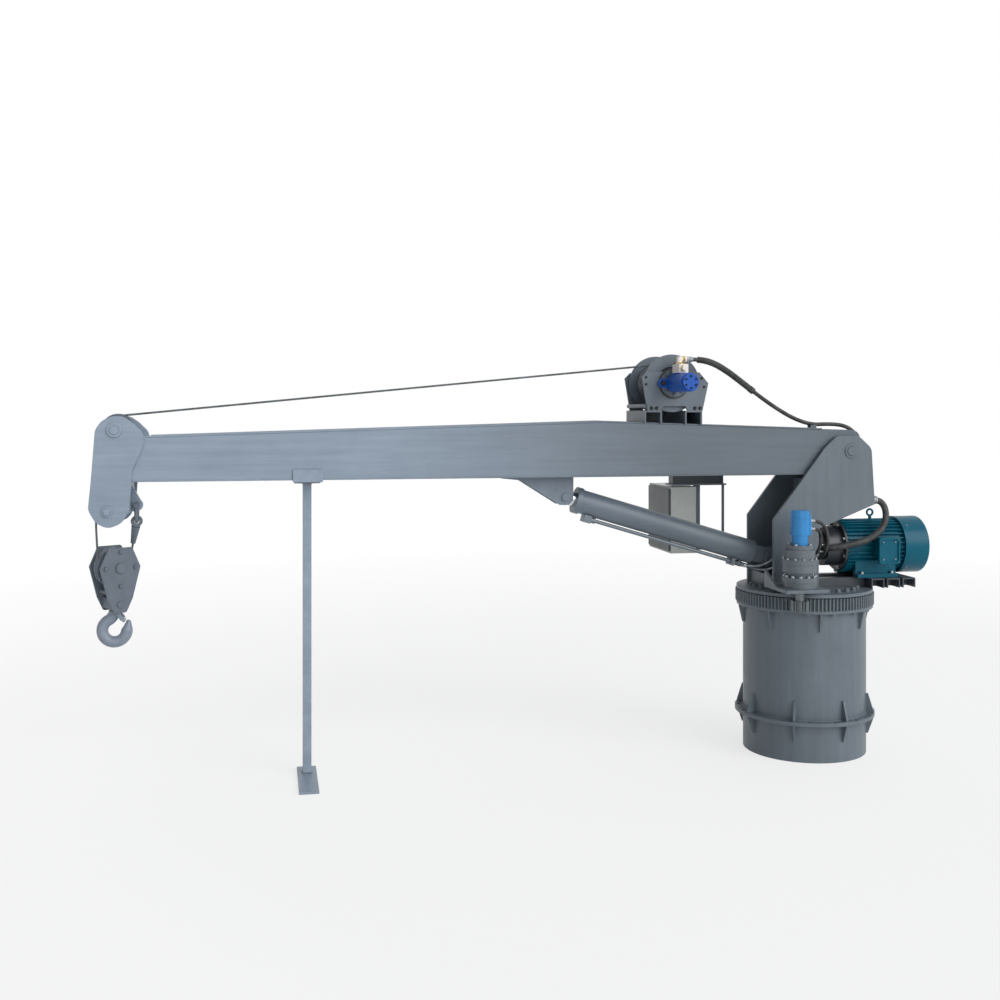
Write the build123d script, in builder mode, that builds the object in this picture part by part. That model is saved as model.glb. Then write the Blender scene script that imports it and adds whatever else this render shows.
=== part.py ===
from build123d import *
import math
import os

# A hydraulic marine deck crane at rest, in millimetres. The origin is on the slewing axis at the
# foot of the pedestal, Z is up and the boom points to -X.

os.makedirs("parts", exist_ok=True)

# Fits
run_gap = 0.05  # radial gap of a turning pin, shaft or piston
skin_gap = 0.3  # gap between faces of bodies that move past each other
side_gap = 2.0  # gap beside a piece that swings between plates

# Pedestal
ped_od = 610.0
ped_wall = 12.0
ped_h = 728.0
base_t = 12.0
deck_flange_reach = 41.0
deck_flange_z = 185.0
deck_flange_t = 18.0
deck_bolt_reach = 21.0
deck_bolt_hole = 22.0
bolt_count = 16
top_flange_reach = 33.0
top_flange_t = 16.0
top_bore_inset = 25.0
gusset_t = 10.0
gusset_count = 8
gusset_angle = 11.8
gusset_inset = 5.0
gusset_toe = 10.0
upper_gusset_h = 95.0
lower_gusset_h = 85.0
top_gusset_h = 90.0

# Slewing ring and pinion
gear_module = 6.0
ring_pitch_reach = 34.0
pinion_teeth = 12
pressure_angle = math.radians(20)
ring_addendum = 4.2
pinion_addendum = 6.0
tip_gap = 1.5
backlash = 0.5
ring_h = 58.0
ring_lift = 4.0
race_inset = 19.5
race_half_gap = 0.5
ball_d = 20.0
ball_count = 30
inner_ring_w = 40.0
ring_bolt_reach = 15.0
ring_bolt_d = 16.0
ring_bolt_head = 24.0
ring_bolt_head_h = 10.0
ring_bolt_depth = 34.0
table_t = 16.0
table_bore = 120.0
pinion_azimuth = 242.0
pinion_w = 50.0
pinion_drop = 6.0
pinion_shaft_d = 45.0

# Tower
tower_w = 340.0
cheek_t = 18.0
cheek_front = -239.0
cheek_rear = 0.0
cheek_back = 302.0
front_kink_h = 352.0
rear_kink_h = 304.0
back_kink_h = 422.0
heel_x = 177.0
heel_h = 690.0
heel_pin_d = 48.0
heel_pin_proud = 8.0
heel_head_d = 66.0
cheek_corner_r = 50.0
web_t = 14.0
front_web_inset = 14.0
front_web_h = 68.0
main_web_x = -100.0
main_web_h = 328.0
rear_web_h = 288.0

# Boom
boom_w = 270.0
boom_wall = 8.0
bottom_drop = 115.0
heel_depth = 220.0
kink_depth = 264.0
tip_depth = 199.0
kink_x = -1073.0
tip_x = -3268.0
nose_x = -3299.0
nose_low = 30.0
nose_high = 80.0
heel_tail = 63.0
heel_corner_r = 45.0
heel_tube_d = 104.0
heel_boss_d = 130.0
bush_od = 62.0
bush_len = 60.0
bush_flange_d = 96.0
bush_flange_t = 5.0

# Luff cylinder
base_pin_x = -185.0
base_pin_h = 146.0
rod_pin_x = -1265.0
rod_pin_drop = 104.0
cyl_pin_d = 45.0
cyl_eye_w = 64.0
cyl_lug_t = 15.0
cyl_lug_gap = 4.0
base_eye_r = 50.0
base_neck_d = 84.0
base_len = 106.0
barrel_base_t = 24.0
barrel_od = 118.0
barrel_bore = 100.0
gland_od = 130.0
gland_collar = 30.0
gland_spigot = 50.0
gland_standoff = 16.0
rod_d = 70.0
rod_eye_r = 42.0
piston_len = 60.0
piston_start = 10.0
pipe_d = 18.0
pipe_y = 16.0
pipe_nut_d = 28.0
pipe_nut_len = 24.0
port_block_w = 70.0
port_block_len = 36.0
port_block_h = 38.0
pipe_end = 150.0
bracket_cap_d = 40.0
bracket_cap_t = 8.0
bracket_front = 320.0
bracket_rear = 38.0
bracket_skirt = 30.0
bracket_toe = 96.0
bracket_toe_h = 20.0

# Boom head and rope
rope_d = 10.0
groove_gap = 0.4
head_pin_x = -3361.0
head_pin_rise = 231.0
guide_pin_x = -3392.0
guide_drop = 134.0
sheave_r = 62.0
sheave_lip = 10.0
sheave_w = 44.0
head_pin_d = 40.0
guide_pin_d = 30.0
head_boss_d = 66.0
guide_boss_d = 47.0
head_boss_t = 8.0
pin_proud = 4.0
head_plate_t = 14.0
head_corner_r = 60.0
sleeve_wall = 8.0
cross_plate_t = 10.0
cross_plate_x = -3301.0
cross_plate_top = 45.0
anchor_x = -3280.0
anchor_drop = 116.0
anchor_t = 24.0
anchor_r = 28.0
anchor_shoulder = 26.0
shackle_pin_d = 20.0
shackle_wire = 18.0
shackle_ear_t = 20.0
shackle_ear_r = 16.0
shackle_half = 24.0
shackle_drop = 50.0
socket_eye_r = 26.0
socket_eye_t = 20.0
socket_len = 108.0
socket_top_r = 20.0
socket_low_r = 11.0

# Winch
winch_x = -750.0
drum_rise = 198.0
winch_base_h = 64.0
winch_w = 300.0
winch_plate_t = 12.0
drum_rope_r = 97.0
drum_flange_r = 141.0
drum_flange_t = 8.0
drum_half = 118.0
drum_wall = 12.0
drum_shaft_d = 50.0
winding_pitch = 10.6
winding_turns = 10
channel_w = 88.0
channel_t = 8.0
channel_offset = 103.0
apron_lap = 3.0
tie_d = 22.0
tie_offset = 138.0
tie_drop = 112.0
bearing_r = 68.0
bearing_t = 10.0
winch_motor_d = 90.0
winch_motor_len = 205.0
winch_motor_flange_t = 16.0
winch_motor_ear = 62.0
winch_motor_cap_d = 78.0
winch_motor_cap_t = 18.0
valve_w = 46.0
valve_len = 96.0
valve_h = 42.0
valve_start = 40.0
fitting_d = 26.0
fitting_h = 24.0
winch_hose_d = 20.0
clamp_x = 16.0
clamp_w = 30.0
hose_y = -60.0
hose_lift = 20.0

# Boom rest
crutch_x = -2508.0
crutch_tube = 40.0
crutch_wall = 4.0
crutch_cap_w = 120.0
crutch_cap_t = 10.0
crutch_foot_w = 90.0
crutch_foot_near = -300.0
crutch_foot_far = 100.0
crutch_foot_t = 10.0
shoe_len = 136.0
shoe_t = 12.0
shoe_lip_h = 45.0
shoe_lip_t = 8.0

# Slewing drive
plate_lift = 26.0
drive_plate_t = 16.0
drive_plate_left = 112.0
drive_plate_right = 100.0
drive_plate_out = 101.0
drive_gusset_h = 70.0
drive_gusset_t = 12.0
drive_pilot_d = 100.0
gearbox_steps = [
    (163.0, 28.0),
    (168.0, 24.0),
    (123.0, 24.0),
    (163.0, 38.0),
    (168.0, 24.0),
    (145.0, 44.0),
    (126.0, 22.0),
]
gear_bolt_d = 14.0
gear_bolt_head_h = 9.0
gear_bolt_count = 12
slew_motor_low_d = 77.0
slew_motor_low_h = 48.0
slew_motor_d = 90.0
slew_motor_h = 118.0
slew_port_w = 40.0
slew_port_proud = 6.0
slew_hose_d = 16.0

# Power pack
motor_z = 200.0
motor_front = 185.0
motor_len = 310.0
motor_core_r = 118.0
motor_fin_r = 135.0
motor_fin_t = 4.0
motor_fin_count = 36
motor_bore_r = 88.0
rotor_gap = 2.0
shield_t = 12.0
shield_r = 145.0
motor_shaft_d = 38.0
foot_w = 52.0
foot_y = 106.0
foot_t = 20.0
foot_inset = 45.0
cover_len = 127.0
cover_t = 4.0
fan_r = 118.0
fan_w = 40.0
vent_d = 24.0
tbox_x = 318.0
tbox_len = 100.0
tbox_h = 102.0
tbox_depth = 64.0
tbox_seat = 122.0
gland_hole_d = 20.0
gland_gap = 15.0
eye_r = 16.0
bell_front = 87.0
bell_r = 100.0
bell_bore_r = 84.0
bell_flange_t = 14.0
bell_flange_r = 125.0
coupling_r = 60.0
pump_len = 72.0
pump_w = 100.0
pump_flange_r = 70.0
pump_flange_t = 14.0
pump_port_d = 44.0
pump_port_len = 28.0
rail_h = 47.0
rail_w = 70.0
rail_wall = 6.0
rail_starts = [285.0, 370.0, 455.0]
rail_reach = 170.0
beam_y = 75.0
beam_w = 40.0
beam_start = 20.0
suction_d = 32.0
tank_front = 12.0
tank_inset = 12.0
tank_floor_gap = 4.0
tank_top_h = 543.0
tank_port_d = 46.0
tank_port_len = 14.0
tank_port_y = -115.0
tank_port_drop = 103.0
tank_wall = 6.0
tank_bore_d = 26.0

# Controls on the far side
cabinet_left = -555.0
cabinet_w = 142.0
cabinet_near = 450.0
cabinet_depth = 370.0
cabinet_low = 121.0
cabinet_h = 359.0
door_t = 10.0
door_inset = 12.0
cabinet_wall = 4.0
cabinet_entry_d = 60.0
post_w = 30.0
post_near = 470.0
arm_w = 50.0
arm_h = 50.0
arm_low = 140.0
shelf_h = 488.0
shelf_t = 8.0
shelf_len = 170.0
shelf_near = 440.0
shelf_far = 545.0
valve_bank_h = 60.0
valve_bank_near = 455.0
valve_bank_far = 525.0
lever_count = 3
lever_pitch = 48.0
lever_d = 10.0
lever_len = 150.0
lever_knob_d = 26.0
lever_hub_d = 22.0
lever_hub_w = 16.0
lever_pin_d = 8.0
lever_slot = 20.0
lever_ear_t = 8.0

# Hook block
block_x = -3377.0
block_drop = 397.0
block_yaw = 30.0
block_rope_r = 80.0
block_lip = 12.0
block_sheave_w = 36.0
block_pin_d = 36.0
block_half_t = 65.0
block_plate_t = 10.0
block_nut_d = 46.0
block_nut_t = 9.0
spacer_d = 20.0
cross_drop = 165.0
cross_h = 46.0
cross_w = 70.0
hook_shank_d = 34.0
hook_nut_d = 58.0
hook_nut_h = 26.0
hook_section = 52.0
hook_bowl_r = 54.0
hook_centre_drop = 289.0
hook_neck_drop = 198.0
hook_tip_rise = 34.0
latch_t = 8.0
latch_pin_d = 10.0
latch_ear_t = 6.0

# Levels and places worked out from the sizes above
deck_flange_od = ped_od + 2 * deck_flange_reach
deck_bolt_pcd = ped_od + 2 * deck_bolt_reach
top_flange_od = ped_od + 2 * top_flange_reach
top_bore = ped_od - 2 * top_bore_inset
ring_bolt_pcd = ped_od + 2 * ring_bolt_reach
ring_teeth = round((ped_od + 2 * ring_pitch_reach) / gear_module)
race_r = ped_od / 2 - race_inset
inner_ring_bore = 2 * (race_r - race_half_gap - inner_ring_w)
table_od = top_flange_od
z_ring = ped_h + top_flange_t
z_table = z_ring + ring_h + ring_lift
z_deck = z_table + table_t
z_heel = z_deck + heel_h
z_bottom = z_heel - bottom_drop
heel_end = heel_x + heel_tail
cheek_in = tower_w / 2 - cheek_t
boom_half = boom_w / 2
ring_pitch_r = gear_module * ring_teeth / 2
pinion_pitch_r = gear_module * pinion_teeth / 2
drive_x = (ring_pitch_r + pinion_pitch_r) * math.cos(math.radians(pinion_azimuth))
drive_y = (ring_pitch_r + pinion_pitch_r) * math.sin(math.radians(pinion_azimuth))
drive_left = drive_x - drive_plate_left
drive_right = drive_x + drive_plate_right
drive_reach = drive_plate_out - drive_y - tower_w / 2
z_base_pin = z_deck + base_pin_h
z_rod_pin = z_bottom - rod_pin_drop
cyl_len = math.hypot(rod_pin_x - base_pin_x, z_rod_pin - z_base_pin)
cyl_dir = Vector(rod_pin_x - base_pin_x, 0, z_rod_pin - z_base_pin).normalized()
cyl_up = Vector(cyl_dir.Z, 0, -cyl_dir.X)
cyl_plane = Plane(origin=(base_pin_x, 0, z_base_pin), x_dir=(0, 1, 0), z_dir=cyl_dir)
lug_in = cyl_eye_w / 2 + cyl_lug_gap
gland_end = cyl_len - rod_eye_r - gland_standoff
barrel_end = gland_end - gland_collar
head_pin = Vector(head_pin_x, 0, z_bottom + head_pin_rise)
guide_pin = Vector(guide_pin_x, 0, z_bottom - guide_drop)
z_anchor = z_bottom - anchor_drop
z_motor = z_deck + motor_z
z_block = z_bottom - block_drop
block_centre = Vector(block_x, 0, z_block)
yaw = math.radians(block_yaw)
block_along = Vector(math.cos(yaw), math.sin(yaw), 0)
block_out = Vector(math.sin(yaw), -math.cos(yaw), 0)
block_plane = Plane(origin=block_centre, x_dir=block_along, z_dir=block_out)
rope_r = rope_d / 2


def boom_top(x):
    """Height of the boom's top flange, straight from heel to kink and from kink to tip."""
    if x > kink_x:
        share = (heel_x - x) / (heel_x - kink_x)
        return z_bottom + heel_depth + share * (kink_depth - heel_depth)
    share = (kink_x - x) / (kink_x - tip_x)
    return z_bottom + kink_depth + share * (tip_depth - kink_depth)


z_drum = boom_top(winch_x) + drum_rise
z_winch = boom_top(winch_x) + winch_base_h


def rod_x(y, z, radius, x_low, x_high):
    """A round bar along X."""
    with BuildPart() as bar:
        with BuildSketch(Plane.YZ.offset(x_low)):
            with Locations((y, z)):
                Circle(radius)
        extrude(amount=x_high - x_low)
    return bar.part


def rod_y(x, z, radius, y_low, y_high):
    """A round bar along Y."""
    with BuildPart() as bar:
        with BuildSketch(Plane.XZ.offset(-y_high)):
            with Locations((x, z)):
                Circle(radius)
        extrude(amount=y_high - y_low)
    return bar.part


def rod_z(x, y, radius, z_low, z_high):
    """A round bar along Z."""
    with BuildPart() as bar:
        with BuildSketch(Plane.XY.offset(z_low)):
            with Locations((x, y)):
                Circle(radius)
        extrude(amount=z_high - z_low)
    return bar.part


def brick(x_low, x_high, y_low, y_high, z_low, z_high):
    """A rectangular block between six faces."""
    with BuildPart() as body:
        with BuildSketch(Plane.XY.offset(z_low)):
            with Locations(((x_low + x_high) / 2, (y_low + y_high) / 2)):
                Rectangle(x_high - x_low, y_high - y_low)
        extrude(amount=z_high - z_low)
    return body.part


def plate_xz(points, y_low, y_high, corner_r=0.0):
    """A flat plate with its outline along the boom, standing between two Y values."""
    with BuildPart() as body:
        with BuildSketch(Plane.XZ.offset(-y_high)) as outline:
            with BuildLine():
                Polyline(*points, close=True)
            make_face()
            if corner_r:
                fillet(outline.vertices(), corner_r)
        extrude(amount=y_high - y_low)
    return body.part


def plate_xy(points, z_low, z_high):
    """A flat plate with its outline in plan."""
    with BuildPart() as body:
        with BuildSketch(Plane.XY.offset(z_low)):
            with BuildLine():
                Polyline(*points, close=True)
            make_face()
        extrude(amount=z_high - z_low)
    return body.part


def ring_z(outer_r, inner_r, z_low, z_high):
    """A flat ring about the slewing axis."""
    with BuildPart() as body:
        with BuildSketch(Plane.XY.offset(z_low)):
            Circle(outer_r)
            Circle(inner_r, mode=Mode.SUBTRACT)
        extrude(amount=z_high - z_low)
    return body.part


def round_on(plane, radius, start, end):
    """A round bar along the normal of a plane."""
    with BuildPart() as bar:
        with BuildSketch(plane.offset(start)):
            Circle(radius)
        extrude(amount=end - start)
    return bar.part


def hex_head(x, y, across, z_low, z_high):
    """A hexagon head about a vertical axis."""
    with BuildPart() as head:
        with BuildSketch(Plane.XY.offset(z_low)):
            with Locations((x, y)):
                RegularPolygon(across / math.sqrt(3), 6)
        extrude(amount=z_high - z_low)
    return head.part


def around(count, radius, first_angle):
    """Points on a circle about the slewing axis."""
    places = []
    for index in range(count):
        angle = math.radians(first_angle + 360 * index / count)
        places.append((radius * math.cos(angle), radius * math.sin(angle)))
    return places


def hose(name, points, diameter):
    """A hose along hand-chosen points, with an arc at each as large as its two runs allow."""
    radii = []
    for before, here, after in zip(points, points[1:], points[2:]):
        run_in = Vector(here) - Vector(before)
        run_out = Vector(after) - Vector(here)
        half_turn = math.radians(run_in.get_angle(run_out)) / 2
        radii.append(0.45 * min(run_in.length, run_out.length) / math.tan(half_turn))
    with BuildPart() as tube:
        with BuildLine() as route:
            FilletPolyline(*points, radius=radii)
        with BuildSketch(Plane(origin=points[0], z_dir=Vector(points[1]) - Vector(points[0]))):
            Circle(diameter / 2)
        sweep()
    length = route.wire().length
    share = tube.part.volume / (math.pi * diameter**2 / 4 * length)
    print(name, "radii", [round(r) for r in radii], "volume against section times length", round(share, 4))
    return tube.part


def save(piece, name):
    """Label a finished piece and write it."""
    piece.part.label = name
    export_step(piece.part, f"parts/{name}.step")


# Pedestal, with its flanges and gussets welded on

ped_r = ped_od / 2
deck_flange_top = deck_flange_z + deck_flange_t


def gusset(flange_od, flange_face, height):
    """A gusset from the tube wall to a flange; a negative height hangs it below the flange."""
    edge = flange_od / 2 - gusset_inset
    toe = math.copysign(gusset_toe, height)
    root = ped_r - ped_wall / 2
    points = [
        (root, flange_face),
        (edge, flange_face),
        (edge, flange_face + toe),
        (ped_r + gusset_toe, flange_face + height),
        (root, flange_face + height),
    ]
    return plate_xz(points, -gusset_t / 2, gusset_t / 2)


with BuildPart() as pedestal:
    add(rod_z(0, 0, ped_r, 0, base_t))
    add(ring_z(ped_r, ped_r - ped_wall, base_t, ped_h))
    add(ring_z(deck_flange_od / 2, ped_r - ped_wall / 2, deck_flange_z, deck_flange_top))
    add(ring_z(top_flange_od / 2, top_bore / 2, ped_h, z_ring))
    upper_gusset = gusset(deck_flange_od, deck_flange_top, upper_gusset_h)
    lower_gusset = gusset(deck_flange_od, deck_flange_z, -lower_gusset_h)
    top_gusset = gusset(top_flange_od, ped_h, -top_gusset_h)
    with PolarLocations(0, gusset_count, start_angle=gusset_angle):
        add(upper_gusset)
        add(lower_gusset)
    with PolarLocations(0, gusset_count, start_angle=gusset_angle + 180 / gusset_count):
        add(top_gusset)
    bolt_angle = gusset_angle + 90 / gusset_count
    for x, y in around(bolt_count, deck_bolt_pcd / 2, bolt_angle):
        add(rod_z(x, y, deck_bolt_hole / 2, deck_flange_z, deck_flange_top), mode=Mode.SUBTRACT)
    for x, y in around(bolt_count, ring_bolt_pcd / 2, bolt_angle):
        add(rod_z(x, y, ring_bolt_d / 2 + skin_gap, ped_h, z_ring), mode=Mode.SUBTRACT)
save(pedestal, "pedestal")

# Slewing ring: the outer ring carries the teeth and stands still, the inner ring turns


def involute(angle):
    """Roll angle less the pressure angle at a point of an involute."""
    return math.tan(angle) - angle


def tooth_half_angle(radius, pitch_r):
    """Half the angle that a tooth fills at a radius."""
    base_r = pitch_r * math.cos(pressure_angle)
    local = math.acos(base_r / max(radius, base_r))
    at_pitch = (math.pi * gear_module / 2 - backlash) / 2 / pitch_r
    return at_pitch + involute(pressure_angle) - involute(local)


def gear_outline(teeth, radii, first_angle):
    """Outline of a spur gear, with the flanks through the given radii."""
    pitch_r = gear_module * teeth / 2
    points = []
    for index in range(teeth):
        centre = math.radians(first_angle + 360 * index / teeth)
        flank = [(r, -tooth_half_angle(r, pitch_r)) for r in radii]
        flank += [(r, -angle) for r, angle in reversed(flank)]
        for r, angle in flank:
            points.append((r * math.cos(centre + angle), r * math.sin(centre + angle)))
    return points


ring_root_r = ring_pitch_r - pinion_addendum - tip_gap
ring_tip_r = ring_pitch_r + ring_addendum
ring_radii = [ring_root_r, ring_tip_r]
pinion_root_r = pinion_pitch_r - ring_addendum - tip_gap
pinion_tip_r = pinion_pitch_r + pinion_addendum
pinion_base_r = pinion_pitch_r * math.cos(pressure_angle)
pinion_radii = [pinion_root_r, pinion_base_r, pinion_pitch_r, pinion_tip_r]
ring_first = pinion_azimuth + 180 / ring_teeth
z_race = z_ring + (ring_h + ring_lift) / 2
race_tube = ball_d / 2 + skin_gap

with BuildPart() as ring_gear:
    add(plate_xy(gear_outline(ring_teeth, ring_radii, ring_first), z_ring, z_ring + ring_h))
    add(rod_z(0, 0, race_r + race_half_gap, z_ring, z_ring + ring_h), mode=Mode.SUBTRACT)
    with Locations((0, 0, z_race)):
        Torus(race_r, race_tube, mode=Mode.SUBTRACT)
    for x, y in around(bolt_count, ring_bolt_pcd / 2, bolt_angle):
        hole_top = z_ring + ring_bolt_depth
        add(rod_z(x, y, ring_bolt_d / 2 + run_gap, z_ring, hole_top), mode=Mode.SUBTRACT)
save(ring_gear, "slew_ring_gear")

with BuildPart() as ring_bolts:
    for x, y in around(bolt_count, ring_bolt_pcd / 2, bolt_angle):
        add(hex_head(x, y, ring_bolt_head, ped_h - ring_bolt_head_h, ped_h))
        add(rod_z(x, y, ring_bolt_d / 2, ped_h, z_ring + ring_bolt_depth - tip_gap))
save(ring_bolts, "slew_ring_bolts")

with BuildPart() as inner_ring:
    add(ring_z(race_r - race_half_gap, inner_ring_bore / 2, z_ring + ring_lift, z_table))
    with Locations((0, 0, z_race)):
        Torus(race_r, race_tube, mode=Mode.SUBTRACT)
save(inner_ring, "slew_inner_ring")

with BuildPart() as balls:
    for x, y in around(ball_count, race_r, 0):
        with Locations((x, y, z_race)):
            Sphere(ball_d / 2)
save(balls, "slew_balls")

with BuildPart() as turntable:
    add(ring_z(table_od / 2, table_bore / 2, z_table, z_deck))
save(turntable, "turntable_plate")

# Tower: two cheeks, cross webs with the lugs of the luff cylinder, and the two pins

cheek_points = [
    (cheek_front, z_deck),
    (cheek_front, z_deck + front_kink_h),
    (heel_x - 141, z_heel + 19),
    (heel_x - 77, z_heel + 76),
    (heel_x + 38, z_heel + 76),
    (heel_x + 108, z_heel + 13),
    (cheek_back, z_deck + back_kink_h),
    (cheek_rear, z_deck + rear_kink_h),
    (cheek_rear, z_deck),
]

with BuildPart() as cheeks:
    add(plate_xz(cheek_points, -tower_w / 2, -cheek_in))
    add(plate_xz(cheek_points, cheek_in, tower_w / 2))
    upright = cheeks.edges().filter_by(Axis.Y)
    fillet(upright.filter_by(lambda e: e.center().Z > z_heel), cheek_corner_r)
    add(rod_y(heel_x, z_heel, heel_pin_d / 2 + run_gap, -tower_w, tower_w), mode=Mode.SUBTRACT)
save(cheeks, "tower_cheeks")

front_web_x = cheek_front + front_web_inset

with BuildPart() as webs:
    add(brick(front_web_x, front_web_x + web_t, -cheek_in, cheek_in, z_deck, z_deck + front_web_h))
    add(brick(main_web_x, main_web_x + web_t, -cheek_in, cheek_in, z_deck, z_deck + main_web_h))
    add(brick(cheek_rear - web_t, cheek_rear, -cheek_in, cheek_in, z_deck, z_deck + rear_web_h))
    for side in (-1, 1):
        lug_low = min(side * lug_in, side * (lug_in + cyl_lug_t))
        lug_high = lug_low + cyl_lug_t
        add(rod_y(base_pin_x, z_base_pin, base_eye_r, lug_low, lug_high))
        z_low = z_base_pin - base_eye_r
        add(brick(base_pin_x, main_web_x, lug_low, lug_high, z_low, z_base_pin + base_eye_r))
    bore = cyl_pin_d / 2 + run_gap
    add(rod_y(base_pin_x, z_base_pin, bore, -cheek_in, cheek_in), mode=Mode.SUBTRACT)
save(webs, "tower_webs")

with BuildPart() as pins:
    heel_reach = tower_w / 2 + heel_pin_proud
    add(rod_y(heel_x, z_heel, heel_pin_d / 2, -heel_reach, heel_reach))
    add(rod_y(heel_x, z_heel, heel_head_d / 2, tower_w / 2, heel_reach))
    lug_out = lug_in + cyl_lug_t + heel_pin_proud
    add(rod_y(base_pin_x, z_base_pin, cyl_pin_d / 2, -lug_out, lug_out))
save(pins, "tower_pins")

# Slewing drive on a bracket in front of the near cheek

z_plate = z_deck + plate_lift
z_gearbox = z_plate + drive_plate_t
near_face = -tower_w / 2

with BuildPart() as bracket:
    add(brick(drive_left, drive_right, near_face - drive_reach, near_face, z_plate, z_gearbox))
    add(rod_z(drive_x, drive_y, drive_pilot_d / 2, z_plate, z_gearbox), mode=Mode.SUBTRACT)
    for x_low in (drive_left, drive_right - drive_gusset_t):
        with BuildSketch(Plane.YZ.offset(x_low)):
            with BuildLine():
                Polyline(
                    (near_face, z_gearbox),
                    (near_face, z_gearbox + drive_gusset_h),
                    (near_face - drive_reach / 2, z_gearbox),
                    close=True,
                )
            make_face()
        extrude(amount=drive_gusset_t)
save(bracket, "slew_drive_bracket")

gear_tops = [z_gearbox]
for diameter, height in gearbox_steps:
    gear_tops.append(gear_tops[-1] + height)
shaft_top = gear_tops[2]

with BuildPart() as gearbox:
    for (diameter, height), low in zip(gearbox_steps, gear_tops):
        add(rod_z(drive_x, drive_y, diameter / 2, low, low + height))
    pilot = drive_pilot_d / 2 - run_gap
    add(rod_z(drive_x, drive_y, pilot, z_plate, z_gearbox))
    shaft_bore = pinion_shaft_d / 2 + run_gap
    add(rod_z(drive_x, drive_y, shaft_bore, z_plate, shaft_top + tip_gap), mode=Mode.SUBTRACT)
save(gearbox, "slew_gearbox")

with BuildPart() as gear_bolts:
    bolt_r = (gearbox_steps[1][0] + gearbox_steps[2][0]) / 4
    low = gear_tops[2]
    for x, y in around(gear_bolt_count, bolt_r, 9):
        add(hex_head(drive_x + x, drive_y + y, gear_bolt_d, low, low + gear_bolt_head_h))
save(gear_bolts, "gearbox_bolts")

z_slew_motor = gear_tops[-1]
z_slew_top = z_slew_motor + slew_motor_low_h + slew_motor_h

with BuildPart() as slew_motor:
    add(rod_z(drive_x, drive_y, slew_motor_low_d / 2, z_slew_motor, z_slew_motor + slew_motor_low_h))
    add(rod_z(drive_x, drive_y, slew_motor_d / 2, z_slew_motor + slew_motor_low_h, z_slew_top))
    port_x = drive_x + slew_motor_d / 2 + slew_port_proud
    half = slew_port_w / 2
    z_port = z_slew_motor + slew_motor_low_h
    add(brick(drive_x, port_x, drive_y - half, drive_y + half, z_port, z_slew_top - half))
save(slew_motor, "slew_motor")

with BuildPart() as pinion:
    outline = gear_outline(pinion_teeth, pinion_radii, pinion_azimuth + 180)
    placed = [(drive_x + x, drive_y + y) for x, y in outline]
    pinion_high = z_table - pinion_drop
    add(plate_xy(placed, pinion_high - pinion_w, pinion_high))
    add(rod_z(drive_x, drive_y, pinion_shaft_d / 2, pinion_high, shaft_top))
save(pinion, "slew_pinion")

slew_hose_routes = [
    [
        (port_x, drive_y, z_port + 66),
        (port_x + 46, drive_y, z_port + 66),
        (port_x + 84, drive_y - 2, z_port + 34),
        (port_x + 96, drive_y, z_port - 18),
        (port_x + 98, drive_y + 18, z_port - 70),
        (port_x + 96, drive_y + 56, z_port - 112),
        (port_x + 94, drive_y + 110, z_port - 132),
        (port_x + 94, near_face, z_port - 132),
    ],
    [
        (port_x, drive_y, z_port + 28),
        (port_x + 38, drive_y, z_port + 28),
        (port_x + 64, drive_y + 8, z_port + 2),
        (port_x + 70, drive_y + 22, z_port - 40),
        (port_x + 68, drive_y + 44, z_port - 80),
        (port_x + 66, drive_y + 80, z_port - 108),
        (port_x + 64, drive_y + 120, z_port - 116),
        (port_x + 64, near_face, z_port - 116),
    ],
]

with BuildPart() as slew_hoses:
    for index, route_points in enumerate(slew_hose_routes):
        add(hose(f"slew hose {index + 1}", route_points, slew_hose_d))
save(slew_hoses, "slew_hoses")

# Power pack behind the tower: frame, electric motor, pump and tank

motor_rear = motor_front + motor_len
frame_top = z_deck + rail_h
frame_rear = rail_starts[-1] + rail_w


def channel_down(x_low, x_high, y_low, y_high, z_low, z_high, wall):
    """A channel with its open side down, running along Y."""
    with BuildPart() as body:
        add(brick(x_low, x_high, y_low, y_high, z_low, z_high))
        add(brick(x_low + wall, x_high - wall, y_low, y_high, z_low, z_high - wall), mode=Mode.SUBTRACT)
    return body.part


with BuildPart() as frame:
    for x_low in rail_starts:
        add(channel_down(x_low, x_low + rail_w, -rail_reach, rail_reach, z_deck, frame_top, rail_wall))
    for side in (-1, 1):
        centre = side * beam_y
        add(brick(beam_start, frame_rear, centre - beam_w / 2, centre + beam_w / 2, z_deck, frame_top))
save(frame, "power_frame")

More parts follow.
